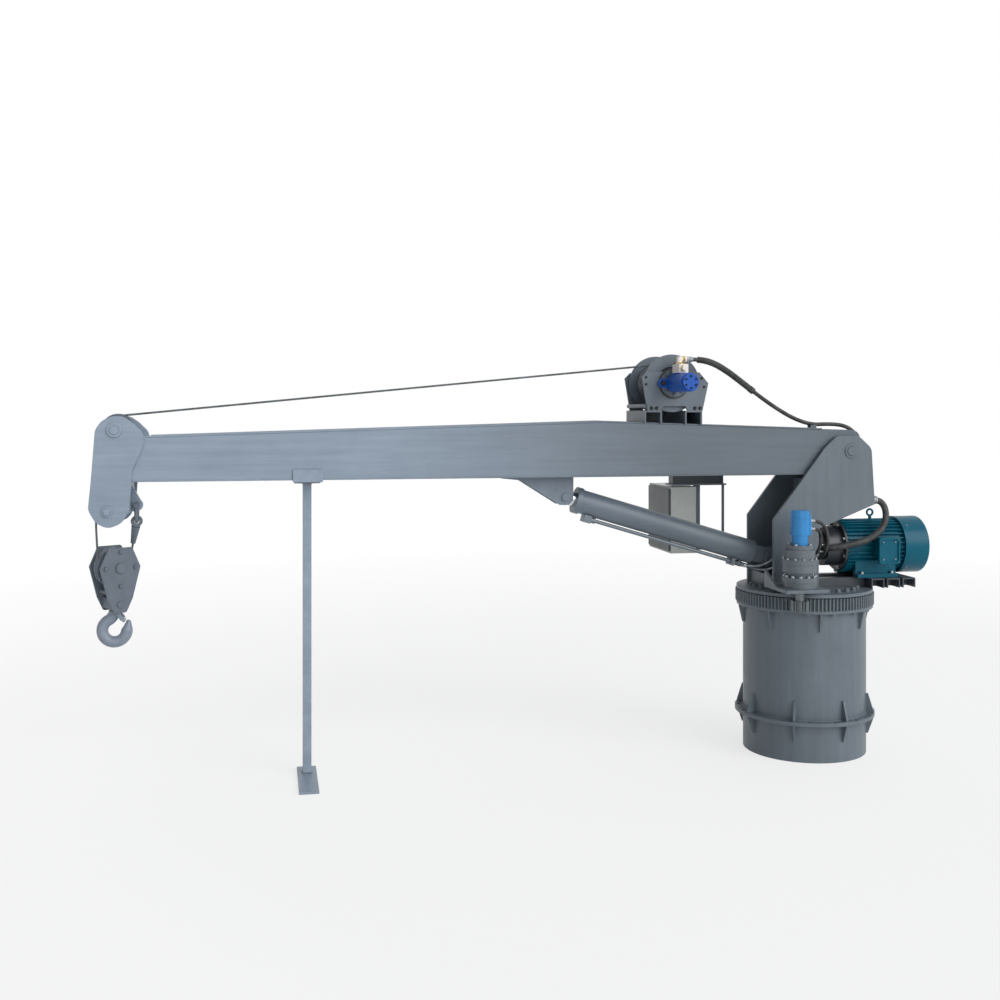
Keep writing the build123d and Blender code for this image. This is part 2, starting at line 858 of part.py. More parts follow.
with BuildPart() as motor:
    with BuildSketch(Plane.YZ.offset(motor_front)):
        with Locations((0, z_motor)):
            Circle(motor_core_r)
            with PolarLocations(0, motor_fin_count):
                with Locations((motor_fin_r / 2, 0)):
                    Rectangle(motor_fin_r, motor_fin_t)
    extrude(amount=motor_len - shield_t / 2)
    add(rod_x(0, z_motor, shield_r, motor_rear - shield_t / 2, motor_rear))
    for side in (-1, 1):
        foot_low = side * foot_y - foot_w / 2
        foot_high = foot_low + foot_w
        leg_low = min(side * foot_y, side * (foot_y - foot_w / 2))
        x_low = motor_front + foot_inset
        x_high = motor_rear - foot_inset
        add(brick(x_low, x_high, foot_low, foot_high, frame_top, frame_top + foot_t))
        add(brick(x_low, x_high, leg_low, leg_low + foot_w / 2, frame_top, z_motor - motor_core_r / 2))
    x_low = motor_front + shield_t
    x_high = motor_rear - shield_t
    add(rod_x(0, z_motor, motor_bore_r, x_low, x_high), mode=Mode.SUBTRACT)
    shaft_bore = motor_shaft_d / 2 + run_gap
    add(rod_x(0, z_motor, shaft_bore, motor_front, motor_rear), mode=Mode.SUBTRACT)
    seat_x = (tbox_x, tbox_x + tbox_len)
    z_tbox = z_motor - tbox_h / 2
    add(
        brick(*seat_x, -tbox_seat - tbox_depth, -tbox_seat, z_tbox, z_tbox + tbox_h),
        mode=Mode.SUBTRACT,
    )
    eye_x = motor_front + motor_len * 0.58
    add(rod_z(eye_x, 0, eye_r / 2, z_motor + motor_core_r, z_motor + motor_fin_r + eye_r))
    with Locations(Location((eye_x, 0, z_motor + motor_fin_r + 2 * eye_r), (90, 0, 0))):
        Torus(eye_r, eye_r / 3)
save(motor, "motor_frame")

with BuildPart() as terminal_box:
    add(brick(*seat_x, -tbox_seat - tbox_depth, -tbox_seat, z_tbox, z_tbox + tbox_h))
    lid_edges = terminal_box.edges().group_by(Axis.Y)[0]
    chamfer(lid_edges, shield_t / 2)
    gland_y = -shield_r - gland_gap
    gland_start = seat_x[1] - gland_hole_d
    add(rod_x(gland_y, z_motor, gland_hole_d / 2, gland_start, seat_x[1]), mode=Mode.SUBTRACT)
save(terminal_box, "terminal_box")

with BuildPart() as rotor:
    rotor_low = motor_front + shield_t + rotor_gap
    rotor_high = motor_rear - shield_t - rotor_gap
    add(rod_x(0, z_motor, motor_bore_r - rotor_gap, rotor_low, rotor_high))
    shaft_low = bell_front + bell_flange_t + rotor_gap
    fan_low = motor_rear + shield_t
    add(rod_x(0, z_motor, motor_shaft_d / 2, shaft_low, fan_low + fan_w))
    add(rod_x(0, z_motor, coupling_r, shaft_low + rotor_gap, motor_front - bell_flange_t))
    add(rod_x(0, z_motor, motor_shaft_d, fan_low, fan_low + fan_w))
    for index in range(6):
        with BuildSketch(Plane.YZ.offset(fan_low)):
            with Locations(Location((0, z_motor, 0), (0, 0, 1), 60 * index)):
                with Locations((fan_r / 2, 0)):
                    Rectangle(fan_r, motor_fin_t)
        extrude(amount=fan_w)
save(rotor, "motor_rotor")

cover_rear = motor_rear + cover_len

with BuildPart() as cover:
    add(rod_x(0, z_motor, shield_r, motor_rear, cover_rear))
    round_edge = cover.edges().filter_by(GeomType.CIRCLE).sort_by(Axis.X)[-1]
    fillet(round_edge, 2 * cover_t)
    add(rod_x(0, z_motor, shield_r - cover_t, motor_rear, cover_rear - cover_t), mode=Mode.SUBTRACT)
    for count, radius in ((6, 46.0), (12, 88.0)):
        for y, z in around(count, radius, 0):
            add(rod_x(y, z_motor + z, vent_d / 2, motor_rear, cover_rear), mode=Mode.SUBTRACT)
save(cover, "motor_fan_cover")

with BuildPart() as bell:
    add(rod_x(0, z_motor, bell_r, bell_front, motor_front))
    add(rod_x(0, z_motor, bell_flange_r, motor_front - bell_flange_t, motor_front))
    add(rod_x(0, z_motor, bell_bore_r, bell_front + bell_flange_t, motor_front), mode=Mode.SUBTRACT)
save(bell, "bell_housing")

pump_front = bell_front - pump_len
port_low = -pump_w / 2 - pump_port_len
port_x_pump = pump_front + (pump_len - pump_flange_t) / 2

with BuildPart() as pump:
    half = pump_w / 2
    add(brick(pump_front, bell_front - pump_flange_t, -half, half, z_motor - half, z_motor + half))
    fillet(pump.edges().filter_by(Axis.X), pump_w / 8)
    add(rod_x(0, z_motor, pump_flange_r, bell_front - pump_flange_t, bell_front))
    add(rod_y(port_x_pump, z_motor, pump_port_d / 2, port_low, -half))
save(pump, "hydraulic_pump")

tank_back = cheek_back - tank_inset
z_tank_top = z_deck + tank_top_h
tank_port_z = z_tank_top - tank_port_drop


def cheek_edge(x):
    """Height of the cheeks' slanted lower edge."""
    share = (x - cheek_rear) / (cheek_back - cheek_rear)
    return z_deck + rear_kink_h + share * (back_kink_h - rear_kink_h)


with BuildPart() as tank:
    tank_points = [
        (tank_front, cheek_edge(tank_front) + tank_floor_gap),
        (tank_back, cheek_edge(tank_back) + tank_floor_gap),
        (tank_back, z_tank_top),
        (tank_front, z_tank_top),
    ]
    add(plate_xz(tank_points, -cheek_in, cheek_in))
    add(rod_x(tank_port_y, tank_port_z, tank_port_d / 2, tank_back, tank_back + tank_port_len))
    room_front = tank_front + tank_wall
    room_back = tank_back - tank_wall
    room_points = [
        (room_front, cheek_edge(room_front) + tank_floor_gap + 2 * tank_wall),
        (room_back, cheek_edge(room_back) + tank_floor_gap + 2 * tank_wall),
        (room_back, z_tank_top - tank_wall),
        (room_front, z_tank_top - tank_wall),
    ]
    add(plate_xz(room_points, tank_wall - cheek_in, cheek_in - tank_wall), mode=Mode.SUBTRACT)
    bore_end = tank_back + tank_port_len
    add(rod_x(tank_port_y, tank_port_z, tank_bore_d / 2, room_back, bore_end), mode=Mode.SUBTRACT)
    add(rod_x(-tank_port_y, tank_port_z + tank_port_d, tank_port_d / 2, tank_back, tank_back + tank_port_d))
save(tank, "oil_tank")

suction_route = [
    (port_x_pump, port_low, z_motor),
    (port_x_pump, port_low - 40, z_motor),
    (port_x_pump + 34, port_low - 82, z_motor + 6),
    (port_x_pump + 104, port_low - 100, z_motor + 20),
    (port_x_pump + 178, port_low - 102, z_motor + 34),
    (port_x_pump + 240, port_low - 98, z_motor + 54),
    (port_x_pump + 290, port_low - 88, z_motor + 86),
    (port_x_pump + 324, port_low - 74, z_motor + 126),
    (bore_end + 80, tank_port_y - 19, tank_port_z - 70),
    (bore_end + 74, tank_port_y - 8, tank_port_z - 27),
    (bore_end + 46, tank_port_y, tank_port_z),
    (bore_end, tank_port_y, tank_port_z),
]

with BuildPart() as suction:
    add(hose("suction hose", suction_route, suction_d))
save(suction, "suction_hose")

# Controls on the far side of the tower

far_face = tower_w / 2
z_cabinet = z_deck + cabinet_low
cabinet_right = cabinet_left + cabinet_w
z_shelf = z_deck + shelf_h
z_arm = z_deck + arm_low
post_far = post_near + post_w
arm_x = main_web_x - arm_w

with BuildPart() as stand:
    add(brick(cabinet_right, cabinet_right + post_w, post_near, post_far, z_arm, z_shelf))
    arm_points = [
        (arm_x - arm_w, far_face),
        (arm_x, far_face),
        (arm_x, post_near - 2 * arm_w),
        (cabinet_right + post_w, post_far),
        (cabinet_right, post_far),
        (cabinet_right, post_near - arm_w / 2),
        (arm_x - arm_w, post_near - 3 * arm_w),
    ]
    add(plate_xy(arm_points, z_arm, z_arm + arm_h))
    shelf_right = cabinet_right + shelf_len
    add(brick(cabinet_left, shelf_right, shelf_near, shelf_far, z_shelf, z_shelf + shelf_t))
    rail_x = shelf_right - post_w / 2
    rail_y = post_near - post_w / 2
    add(rod_z(rail_x, rail_y, post_w / 4, z_arm + arm_h / 2, z_shelf))
    add(rod_y(rail_x, z_arm + arm_h / 2, post_w / 4, rail_y - 2 * post_w, rail_y))
save(stand, "control_stand")

with BuildPart() as cabinet:
    cabinet_far = cabinet_near + cabinet_depth
    z_cabinet_top = z_cabinet + cabinet_h
    add(brick(cabinet_left, cabinet_right, cabinet_near, cabinet_far, z_cabinet, z_cabinet_top))
    add(
        brick(
            cabinet_left - door_t,
            cabinet_left,
            cabinet_near + door_inset,
            cabinet_far - door_inset,
            z_cabinet + door_inset,
            z_cabinet_top - door_inset,
        )
    )
    room_x = (cabinet_left + cabinet_wall, cabinet_right - cabinet_wall)
    room_y = (cabinet_near + cabinet_wall, cabinet_far - cabinet_wall)
    add(
        brick(*room_x, *room_y, z_cabinet + cabinet_wall, z_cabinet_top - cabinet_wall),
        mode=Mode.SUBTRACT,
    )
    entry_x = (cabinet_left + cabinet_right) / 2
    entry_y = (cabinet_near + cabinet_far) / 2
    entry_top = z_cabinet + cabinet_wall
    add(rod_z(entry_x, entry_y, cabinet_entry_d / 2, z_cabinet, entry_top), mode=Mode.SUBTRACT)
    for index in range(lever_count):
        y = cabinet_near + cabinet_depth * (index + 1) / (lever_count + 1)
        knob_front = cabinet_left - 2 * door_t
        add(rod_x(y, z_cabinet + cabinet_h / 3, lever_knob_d / 2, knob_front, cabinet_left - door_t))
save(cabinet, "control_cabinet")

z_valve = z_shelf + shelf_t
z_lever = z_valve + valve_bank_h + lever_hub_d / 2 + side_gap
lever_y = (valve_bank_near + valve_bank_far) / 2
valve_mid = (cabinet_right + shelf_right) / 2
lever_places = [valve_mid + lever_pitch * (index - (lever_count - 1) / 2) for index in range(lever_count)]

with BuildPart() as valve_bank:
    bank_half = shelf_len / 2 - door_inset
    bank_x = (cabinet_left + door_inset, valve_mid + bank_half)
    add(brick(*bank_x, valve_bank_near, valve_bank_far, z_valve, z_valve + valve_bank_h))
    for x in lever_places:
        for side in (-1, 1):
            inner = x + side * lever_slot / 2
            outer = inner + side * lever_ear_t
            ear_x = (min(inner, outer), max(inner, outer))
            ear_y = (lever_y - lever_hub_d / 2, lever_y + lever_hub_d / 2)
            add(brick(*ear_x, *ear_y, z_valve + valve_bank_h, z_lever + lever_hub_d / 2))
    pin_bore = lever_pin_d / 2 + run_gap
    add(rod_x(lever_y, z_lever, pin_bore, *bank_x), mode=Mode.SUBTRACT)
save(valve_bank, "control_valve")

for name, x in zip(("hoist_lever", "luff_lever", "slew_lever"), lever_places):
    with BuildPart() as lever:
        add(rod_x(lever_y, z_lever, lever_hub_d / 2, x - lever_hub_w / 2, x + lever_hub_w / 2))
        pin_reach = lever_slot / 2 + lever_ear_t
        add(rod_x(lever_y, z_lever, lever_pin_d / 2, x - pin_reach, x + pin_reach))
        add(rod_z(x, lever_y, lever_d / 2, z_lever, z_lever + lever_len))
        with Locations((x, lever_y, z_lever + lever_len)):
            Sphere(lever_knob_d / 2)
    save(lever, name)

# Boom box with its heel tube, hose clamp and open heel end


def boom_outline(inset, heel):
    """Side view of the boom, drawn in by a wall thickness, up to an end behind the heel pin."""
    return [
        (nose_x + inset, z_bottom + inset),
        (heel, z_bottom + inset),
        (heel, boom_top(heel_x) - inset),
        (heel_x, boom_top(heel_x) - inset),
        (kink_x, boom_top(kink_x) - inset),
        (tip_x + inset, boom_top(tip_x) - inset),
        (tip_x + inset, z_bottom + nose_high),
        (nose_x + inset, z_bottom + nose_low),
    ]


with BuildPart() as boom:
    add(plate_xz(boom_outline(0, heel_end), -boom_half, boom_half))
    ends = boom.edges().filter_by(Axis.Y).filter_by(lambda e: e.center().X > heel_x + heel_tail / 2)
    fillet(ends, heel_corner_r)
    inner_half = boom_half - boom_wall
    add(plate_xz(boom_outline(boom_wall, heel_end + boom_wall), -inner_half, inner_half), mode=Mode.SUBTRACT)
    boss_out = cheek_in - side_gap - bush_flange_t
    add(rod_y(heel_x, z_heel, heel_tube_d / 2, -boom_half, boom_half))
    for side in (-1, 1):
        y_low = min(side * boom_half, side * boss_out)
        y_high = max(side * boom_half, side * boss_out)
        add(rod_y(heel_x, z_heel, heel_boss_d / 2, y_low, y_high))
    add(rod_y(heel_x, z_heel, bush_od / 2, -cheek_in, cheek_in), mode=Mode.SUBTRACT)
    clamp_low = boom_top(clamp_x) - boom_wall / 2
    clamp_top = boom_top(clamp_x) + hose_lift
    clamp_range = (clamp_x - clamp_w / 2, clamp_x + clamp_w / 2)
    slot_half = winch_hose_d / 2 + side_gap
    clamp_half = slot_half + boom_wall
    add(brick(*clamp_range, hose_y - clamp_half, hose_y + clamp_half, clamp_low, clamp_top))
    slot_low = clamp_top - winch_hose_d / 2 - side_gap
    add(
        brick(*clamp_range, hose_y - slot_half, hose_y + slot_half, slot_low, clamp_top),
        mode=Mode.SUBTRACT,
    )
save(boom, "boom_box")

with BuildPart() as bushes:
    for side in (-1, 1):
        y_in = side * (boss_out - bush_len)
        y_mid = side * boss_out
        y_out = side * (cheek_in - side_gap)
        add(rod_y(heel_x, z_heel, bush_od / 2 - run_gap, min(y_in, y_mid), max(y_in, y_mid)))
        add(rod_y(heel_x, z_heel, bush_flange_d / 2, min(y_mid, y_out), max(y_mid, y_out)))
    add(rod_y(heel_x, z_heel, heel_pin_d / 2 + run_gap, -cheek_in, cheek_in), mode=Mode.SUBTRACT)
save(bushes, "heel_bushes")

# Bracket under the boom for the rod eye; its middle is open so that the eye can leave it

bracket_out = lug_in + cyl_lug_t
bracket_points = [
    (rod_pin_x - bracket_front, z_bottom),
    (rod_pin_x - bracket_front, z_bottom - bracket_toe_h / 2),
    (rod_pin_x - bracket_front + bracket_toe, z_bottom - bracket_toe_h),
    (rod_pin_x - bracket_skirt, z_rod_pin - bracket_rear),
    (rod_pin_x + bracket_skirt / 2, z_rod_pin - bracket_rear),
    (rod_pin_x + bracket_rear, z_rod_pin - bracket_skirt / 2),
    (rod_pin_x + bracket_rear, z_bottom),
]

with BuildPart() as luff_bracket:
    for side in (-1, 1):
        y_low = min(side * lug_in, side * bracket_out)
        add(plate_xz(bracket_points, y_low, y_low + cyl_lug_t))
        cap_low = min(side * bracket_out, side * (bracket_out + bracket_cap_t))
        add(rod_y(rod_pin_x, z_rod_pin, bracket_cap_d / 2, cap_low, cap_low + bracket_cap_t))
save(luff_bracket, "luff_bracket")

# Landing shoe on the boom and the loose post that holds it up

z_shoe = z_bottom - shoe_t
shoe_x = (crutch_x - shoe_len / 2, crutch_x + shoe_len / 2)

with BuildPart() as shoe:
    reach = boom_half + shoe_lip_t
    add(brick(*shoe_x, -reach, reach, z_shoe, z_bottom))
    for side in (-1, 1):
        y_low = min(side * boom_half, side * reach)
        add(brick(*shoe_x, y_low, y_low + shoe_lip_t, z_bottom, z_bottom + shoe_lip_h))
save(shoe, "boom_rest_shoe")

z_cap = z_shoe - skin_gap

with BuildPart() as crutch:
    half = crutch_tube / 2
    z_post = z_cap - crutch_cap_t
    add(brick(crutch_x - half, crutch_x + half, -half, half, crutch_foot_t, z_post))
    bore = half - crutch_wall
    add(brick(crutch_x - bore, crutch_x + bore, -bore, bore, crutch_foot_t, z_post), mode=Mode.SUBTRACT)
    foot = crutch_foot_w / 2
    add(brick(crutch_x - foot, crutch_x + foot, crutch_foot_near, crutch_foot_far, 0, crutch_foot_t))
    cap = crutch_cap_w / 2
    add(brick(crutch_x - cap, crutch_x + cap, -cap, cap, z_post, z_cap))
save(crutch, "boom_rest_post")

# Luff cylinder


def on_cylinder(along, down, y):
    """A point beside the luff cylinder: along from the base pin, down from its axis."""
    origin = Vector(base_pin_x, y, z_base_pin)
    return origin + cyl_dir * along - cyl_up * down


with BuildPart() as barrel:
    add(round_on(cyl_plane, barrel_od / 2, base_len, barrel_end))
    add(round_on(cyl_plane, barrel_bore / 2, base_len + barrel_base_t, barrel_end), mode=Mode.SUBTRACT)
    with BuildSketch(cyl_plane.offset(base_eye_r / 2)):
        Rectangle(cyl_eye_w, base_neck_d)
    extrude(amount=base_len - base_eye_r / 2)
    eye_half = cyl_eye_w / 2
    add(rod_y(base_pin_x, z_base_pin, base_eye_r, -eye_half, eye_half))
    pin_bore = cyl_pin_d / 2 + run_gap
    add(rod_y(base_pin_x, z_base_pin, pin_bore, -eye_half, eye_half), mode=Mode.SUBTRACT)
save(barrel, "luff_barrel")

with BuildPart() as gland:
    add(round_on(cyl_plane, gland_od / 2, barrel_end, gland_end))
    add(round_on(cyl_plane, barrel_bore / 2 - run_gap, barrel_end - gland_spigot, barrel_end))
    rod_bore = rod_d / 2 + run_gap
    add(round_on(cyl_plane, rod_bore, barrel_end - gland_spigot, gland_end), mode=Mode.SUBTRACT)
save(gland, "luff_gland")

with BuildPart() as rod:
    piston_low = base_len + barrel_base_t + piston_start
    piston_high = piston_low + piston_len
    add(round_on(cyl_plane, barrel_bore / 2 - run_gap, piston_low, piston_high))
    add(round_on(cyl_plane, rod_d / 2, piston_high, cyl_len))
    add(rod_y(rod_pin_x, z_rod_pin, rod_eye_r, -eye_half, eye_half))
    pin_reach = lug_in - skin_gap
    add(rod_y(rod_pin_x, z_rod_pin, cyl_pin_d / 2, -pin_reach, pin_reach))
save(rod, "luff_rod")

pipe_down = barrel_od / 2 + skin_gap + pipe_nut_d / 2
port_face = barrel_end - 2 * port_block_len


def on_pipe(along, y):
    """A plane across one of the pipes, facing along the cylinder."""
    return Plane(origin=on_cylinder(along, pipe_down, y), x_dir=(0, 1, 0), z_dir=cyl_dir)


with BuildPart() as pipes:
    block_mid = port_face + port_block_len / 2
    clip_mid = pipe_end + 2 * pipe_nut_len
    for along, length in ((block_mid, port_block_len), (clip_mid, port_block_len / 2)):
        with BuildSketch(on_pipe(along - length / 2, 0)):
            Rectangle(port_block_w, port_block_h)
        extrude(amount=length)
    add(round_on(cyl_plane, barrel_od / 2, base_len, barrel_end), mode=Mode.SUBTRACT)
    for y in (-pipe_y, pipe_y):
        add(round_on(on_pipe(0, y), pipe_d / 2, pipe_end, port_face))
        add(round_on(on_pipe(0, y), pipe_nut_d / 2, pipe_end, pipe_end + pipe_nut_len))
        add(round_on(on_pipe(0, y), pipe_nut_d / 2, port_face - pipe_nut_len, port_face))
save(pipes, "luff_pipes")

luff_starts = [on_cylinder(pipe_end, pipe_down, y) for y in (-pipe_y, pipe_y)]
luff_hose_routes = [
    [
        luff_starts[0],
        luff_starts[0] - cyl_dir * 40,
        (-262, -42, z_base_pin - 38),
        (-222, -80, z_base_pin - 12),
        (-180, -106, z_base_pin + 22),
        (-140, -114, z_base_pin + 42),
        (main_web_x, -114, z_base_pin + 42),
    ],
    [
        luff_starts[1],
        luff_starts[1] - cyl_dir * 40,
        (-262, -14, z_base_pin - 56),
        (-222, -64, z_base_pin - 54),
        (-180, -96, z_base_pin - 26),
        (-140, -108, z_base_pin + 2),
        (main_web_x, -108, z_base_pin + 2),
    ],
]

with BuildPart() as luff_hoses:
    for index, route_points in enumerate(luff_hose_routes):
        add(hose(f"luff hose {index + 1}", route_points, pipe_d))
save(luff_hoses, "luff_hoses")

# Boom head: two plates that carry the pins, a cross plate with the rope anchor, and two sheaves


def from_pin(pin, offsets):
    """Outline points given from a pin."""
    return [(pin.X + x, pin.Z + z) for x, z in offsets]


head_offsets = [(-83, 1), (-56, 40), (-13, 61), (37, 61), (78, 31), (120, -11), (129, -58)]
head_points = from_pin(head_pin, head_offsets)
guide_offsets = [(106, 179), (93, 1), (62, -52), (2, -77), (-50, -48), (-82, 9), (-69, 145)]
head_points += from_pin(guide_pin, guide_offsets)
plate_out = boom_half + head_plate_t
anchor_back = cross_plate_x - cross_plate_t

with BuildPart() as head:
    for side in (-1, 1):
        y_low = min(side * boom_half, side * plate_out)
        add(plate_xz(head_points, y_low, y_low + head_plate_t))
    fillet(head.edges().filter_by(Axis.Y), head_corner_r)
    for side in (-1, 1):
        boss_low = min(side * plate_out, side * (plate_out + head_boss_t))
        add(rod_y(head_pin.X, head_pin.Z, head_boss_d / 2, boss_low, boss_low + head_boss_t))
        add(rod_y(guide_pin.X, guide_pin.Z, guide_boss_d / 2, boss_low, boss_low + head_boss_t))
    z_low = z_anchor - anchor_r
    add(brick(anchor_back, cross_plate_x, -boom_half, boom_half, z_low, z_bottom + cross_plate_top))
    half = anchor_t / 2
    lug_points = [
        (cross_plate_x, z_low),
        (anchor_x, z_low),
        (anchor_x + anchor_r * 0.7, z_anchor + anchor_r * 0.7),
        (cross_plate_x, z_bottom - anchor_shoulder),
    ]
    add(plate_xz(lug_points, -half, half))
    add(rod_y(anchor_x, z_anchor, anchor_r, -half, half))
    for pin, diameter in ((head_pin, head_pin_d), (guide_pin, guide_pin_d)):
        reach = plate_out + head_boss_t
        add(rod_y(pin.X, pin.Z, diameter / 2 + run_gap, -reach, reach), mode=Mode.SUBTRACT)
    add(rod_y(anchor_x, z_anchor, shackle_pin_d / 2 + run_gap, -half, half), mode=Mode.SUBTRACT)
save(head, "head_plates")

with BuildPart() as sheave_pins:
    reach = plate_out + head_boss_t + pin_proud
    for pin, diameter in ((head_pin, head_pin_d), (guide_pin, guide_pin_d)):
        add(rod_y(pin.X, pin.Z, diameter / 2, -reach, reach))
        sleeve_in = sheave_w / 2 + side_gap
        sleeve_out = boom_half - side_gap
        for side in (-1, 1):
            y_low = min(side * sleeve_in, side * sleeve_out)
            add(rod_y(pin.X, pin.Z, diameter / 2 + sleeve_wall, y_low, y_low + sleeve_out - sleeve_in))
save(sheave_pins, "head_pins")


def sheave(pitch_r, lip, width, pin_d):
    """A grooved rope wheel about the Y axis, thinner between its hub and its rim."""
    groove_r = rope_r + groove_gap
    outer_r = pitch_r + lip
    rim_r = pitch_r - groove_r - lip
    hub_r = pin_d / 2 + lip
    flare = groove_r + lip / 2
    half = width / 2
    web = width / 4
    bore_r = pin_d / 2 + run_gap
    with BuildPart() as wheel:
        with BuildSketch(Plane.YZ):
            with BuildLine():
                Polyline(
                    (-half, bore_r),
                    (half, bore_r),
                    (half, hub_r),
                    (web, hub_r),
                    (web, rim_r),
                    (half, rim_r),
                    (half, outer_r),
                    (flare, outer_r),
                    (groove_r, pitch_r),
                    (-groove_r, pitch_r),
                    (-flare, outer_r),
                    (-half, outer_r),
                    (-half, rim_r),
                    (-web, rim_r),
                    (-web, hub_r),
                    (-half, hub_r),
                    close=True,
                )
            make_face()
            with Locations((0, pitch_r)):
                Circle(groove_r, mode=Mode.SUBTRACT)
        revolve(axis=Axis.Y)
    return wheel.part


for name, pin, diameter in (("head_sheave", head_pin, head_pin_d), ("guide_sheave", guide_pin, guide_pin_d)):
    with BuildPart() as wheel:
        add(sheave(sheave_r, sheave_lip, sheave_w, diameter).moved(Location(pin)))
    save(wheel, name)

# Hoist rope from the drum over the head sheave and down to the guide sheave

drum_centre = Vector(winch_x, 0, z_drum)
to_head = (head_pin - drum_centre).normalized()
lean = math.asin((drum_rope_r - sheave_r) / (head_pin - drum_centre).length)
lead_up = Vector(to_head.Z, 0, -to_head.X) * math.cos(lean) + to_head * math.sin(lean)
lead_dir = Vector(-lead_up.Z, 0, lead_up.X)
to_guide = (guide_pin - head_pin).normalized()
guide_side = Vector(to_guide.Z, 0, -to_guide.X)
clear_r = drum_rope_r + rope_d + skin_gap
lead_skip = math.sqrt(clear_r**2 - drum_rope_r**2)
lead_start = drum_centre + lead_up * drum_rope_r + lead_dir * (lead_skip + skin_gap)
head_in = head_pin + lead_up * sheave_r
head_mid = head_pin + (lead_up + guide_side).normalized() * sheave_r
head_out = head_pin + guide_side * sheave_r
guide_out = guide_pin + guide_side * sheave_r

with BuildPart() as lead:
    with BuildLine():
        Line(lead_start, head_in)
        ThreePointArc(head_in, head_mid, head_out)
        Line(head_out, guide_out)
    with BuildSketch(Plane(origin=lead_start, z_dir=lead_dir)):
        Circle(rope_r)
    sweep()
save(lead, "hoist_rope_lead")

# Winch on top of the boom

with BuildPart() as winch_base:
    for centre in (winch_x - channel_offset, winch_x + channel_offset):
        x_low = centre - channel_w / 2
        x_high = centre + channel_w / 2
        points = [
            (x_low, boom_top(x_low)),
            (x_low, z_winch),
            (x_high, z_winch),
            (x_high, boom_top(x_high)),
            (x_high - channel_t, boom_top(x_high - channel_t)),
            (x_high - channel_t, z_winch - channel_t),
            (x_low + channel_t, z_winch - channel_t),
            (x_low + channel_t, boom_top(x_low + channel_t)),
        ]
        add(plate_xz(points, -winch_w / 2, winch_w / 2))
save(winch_base, "winch_base")

side_points = [
    (winch_x - 158, z_drum + 29),
    (winch_x - 131, z_winch),
    (winch_x - 66, z_winch),
    (winch_x - 50, z_winch + 22),
    (winch_x + 60, z_winch + 22),
    (winch_x + 72, z_winch),
    (winch_x + 149, z_winch),
    (winch_x + 179, z_drum),
    (winch_x + 133, z_drum + 53),
    (winch_x - 130, z_drum + 57),
]
plate_in = winch_w / 2 - winch_plate_t
apron_points = [
    (winch_x - 131, z_winch + apron_lap),
    (winch_x - 125, boom_top(winch_x - 125)),
    (winch_x + 143, boom_top(winch_x + 143)),
    (winch_x + 149, z_winch + apron_lap),
]

with BuildPart() as winch_frame:
    add(plate_xz(apron_points, winch_w / 2, winch_w / 2 + channel_t))
    for side in (-1, 1):
        y_low = min(side * plate_in, side * winch_w / 2)
        add(plate_xz(side_points, y_low, y_low + winch_plate_t))
        disc_low = min(side * winch_w / 2, side * (winch_w / 2 + bearing_t))
        add(rod_y(winch_x, z_drum, bearing_r, disc_low, disc_low + bearing_t))
    for x in (winch_x - tie_offset, winch_x + tie_offset):
        add(rod_y(x, z_drum - tie_drop, tie_d / 2, -plate_in, plate_in))
    shaft_reach = winch_w / 2 + bearing_t / 2
    shaft_bore = drum_shaft_d / 2 + run_gap
    add(
        rod_y(winch_x, z_drum, shaft_bore, -shaft_reach - side_gap, shaft_reach + side_gap),
        mode=Mode.SUBTRACT,
    )
save(winch_frame, "winch_frame")

flange_y = -winch_w / 2 - bearing_t
body_y = flange_y - winch_motor_flange_t
z_pad = z_drum + winch_motor_d / 2 + side_gap
valve_high = flange_y - valve_start
valve_low = valve_high - valve_len

with BuildPart() as winch_motor:
    add(rod_y(winch_x, z_drum, winch_motor_d / 2, body_y - winch_motor_len, flange_y))
    for x in (winch_x - winch_motor_ear, winch_x + winch_motor_ear):
        add(rod_y(x, z_drum, tie_d, body_y, flange_y))
    x_low = winch_x - winch_motor_ear
    x_high = winch_x + winch_motor_ear
    add(brick(x_low, x_high, body_y, flange_y, z_drum - tie_d, z_drum + tie_d))
    cap_y = body_y - winch_motor_len
    add(rod_y(winch_x, z_drum, winch_motor_cap_d / 2, cap_y - winch_motor_cap_t, cap_y))
    half = valve_w / 2 - side_gap
    add(brick(winch_x - half, winch_x + half, valve_low, valve_high, z_drum, z_pad))
save(winch_motor, "winch_motor")

z_valve_top = z_pad + valve_h
fitting_y = valve_high - valve_len / 3
z_fitting = z_valve_top + fitting_h
nipple_x = winch_x + valve_w / 2 + fitting_d / 2

with BuildPart() as valve_block:
    half = valve_w / 2
    add(brick(winch_x - half, winch_x + half, valve_low, valve_high, z_pad, z_valve_top))
    add(rod_z(winch_x, fitting_y, fitting_d / 2, z_valve_top, z_fitting + fitting_d / 2))
    add(rod_x(fitting_y, z_fitting, fitting_d / 2, winch_x, nipple_x))
    add(rod_y(winch_x, z_pad + valve_h / 2, fitting_d / 2, valve_low - fitting_h, valve_low))
save(valve_block, "winch_valve_block")

z_hose = boom_top(clamp_x) + hose_lift
winch_hose_route = [
    (nipple_x, fitting_y, z_fitting),
    (nipple_x + 70, fitting_y, z_fitting),
    (nipple_x + 150, fitting_y + 28, z_fitting - 16),
    (nipple_x + 240, fitting_y + 64, z_fitting - 58),
    (nipple_x + 330, fitting_y + 94, z_fitting - 114),
    (nipple_x + 430, fitting_y + 118, z_fitting - 180),
    (nipple_x + 530, fitting_y + 138, z_fitting - 240),
    (nipple_x + 630, fitting_y + 156, z_fitting - 290),
    (clamp_x, hose_y, z_hose),
    (104, hose_y, z_hose + 4),
    (186, hose_y, z_hose - 2),
    (244, hose_y, z_hose - 32),
    (272, hose_y, z_hose - 88),
    (274, hose_y, z_hose - 154),
    (264, hose_y, z_hose - 216),
    (264, hose_y, z_tank_top),
]

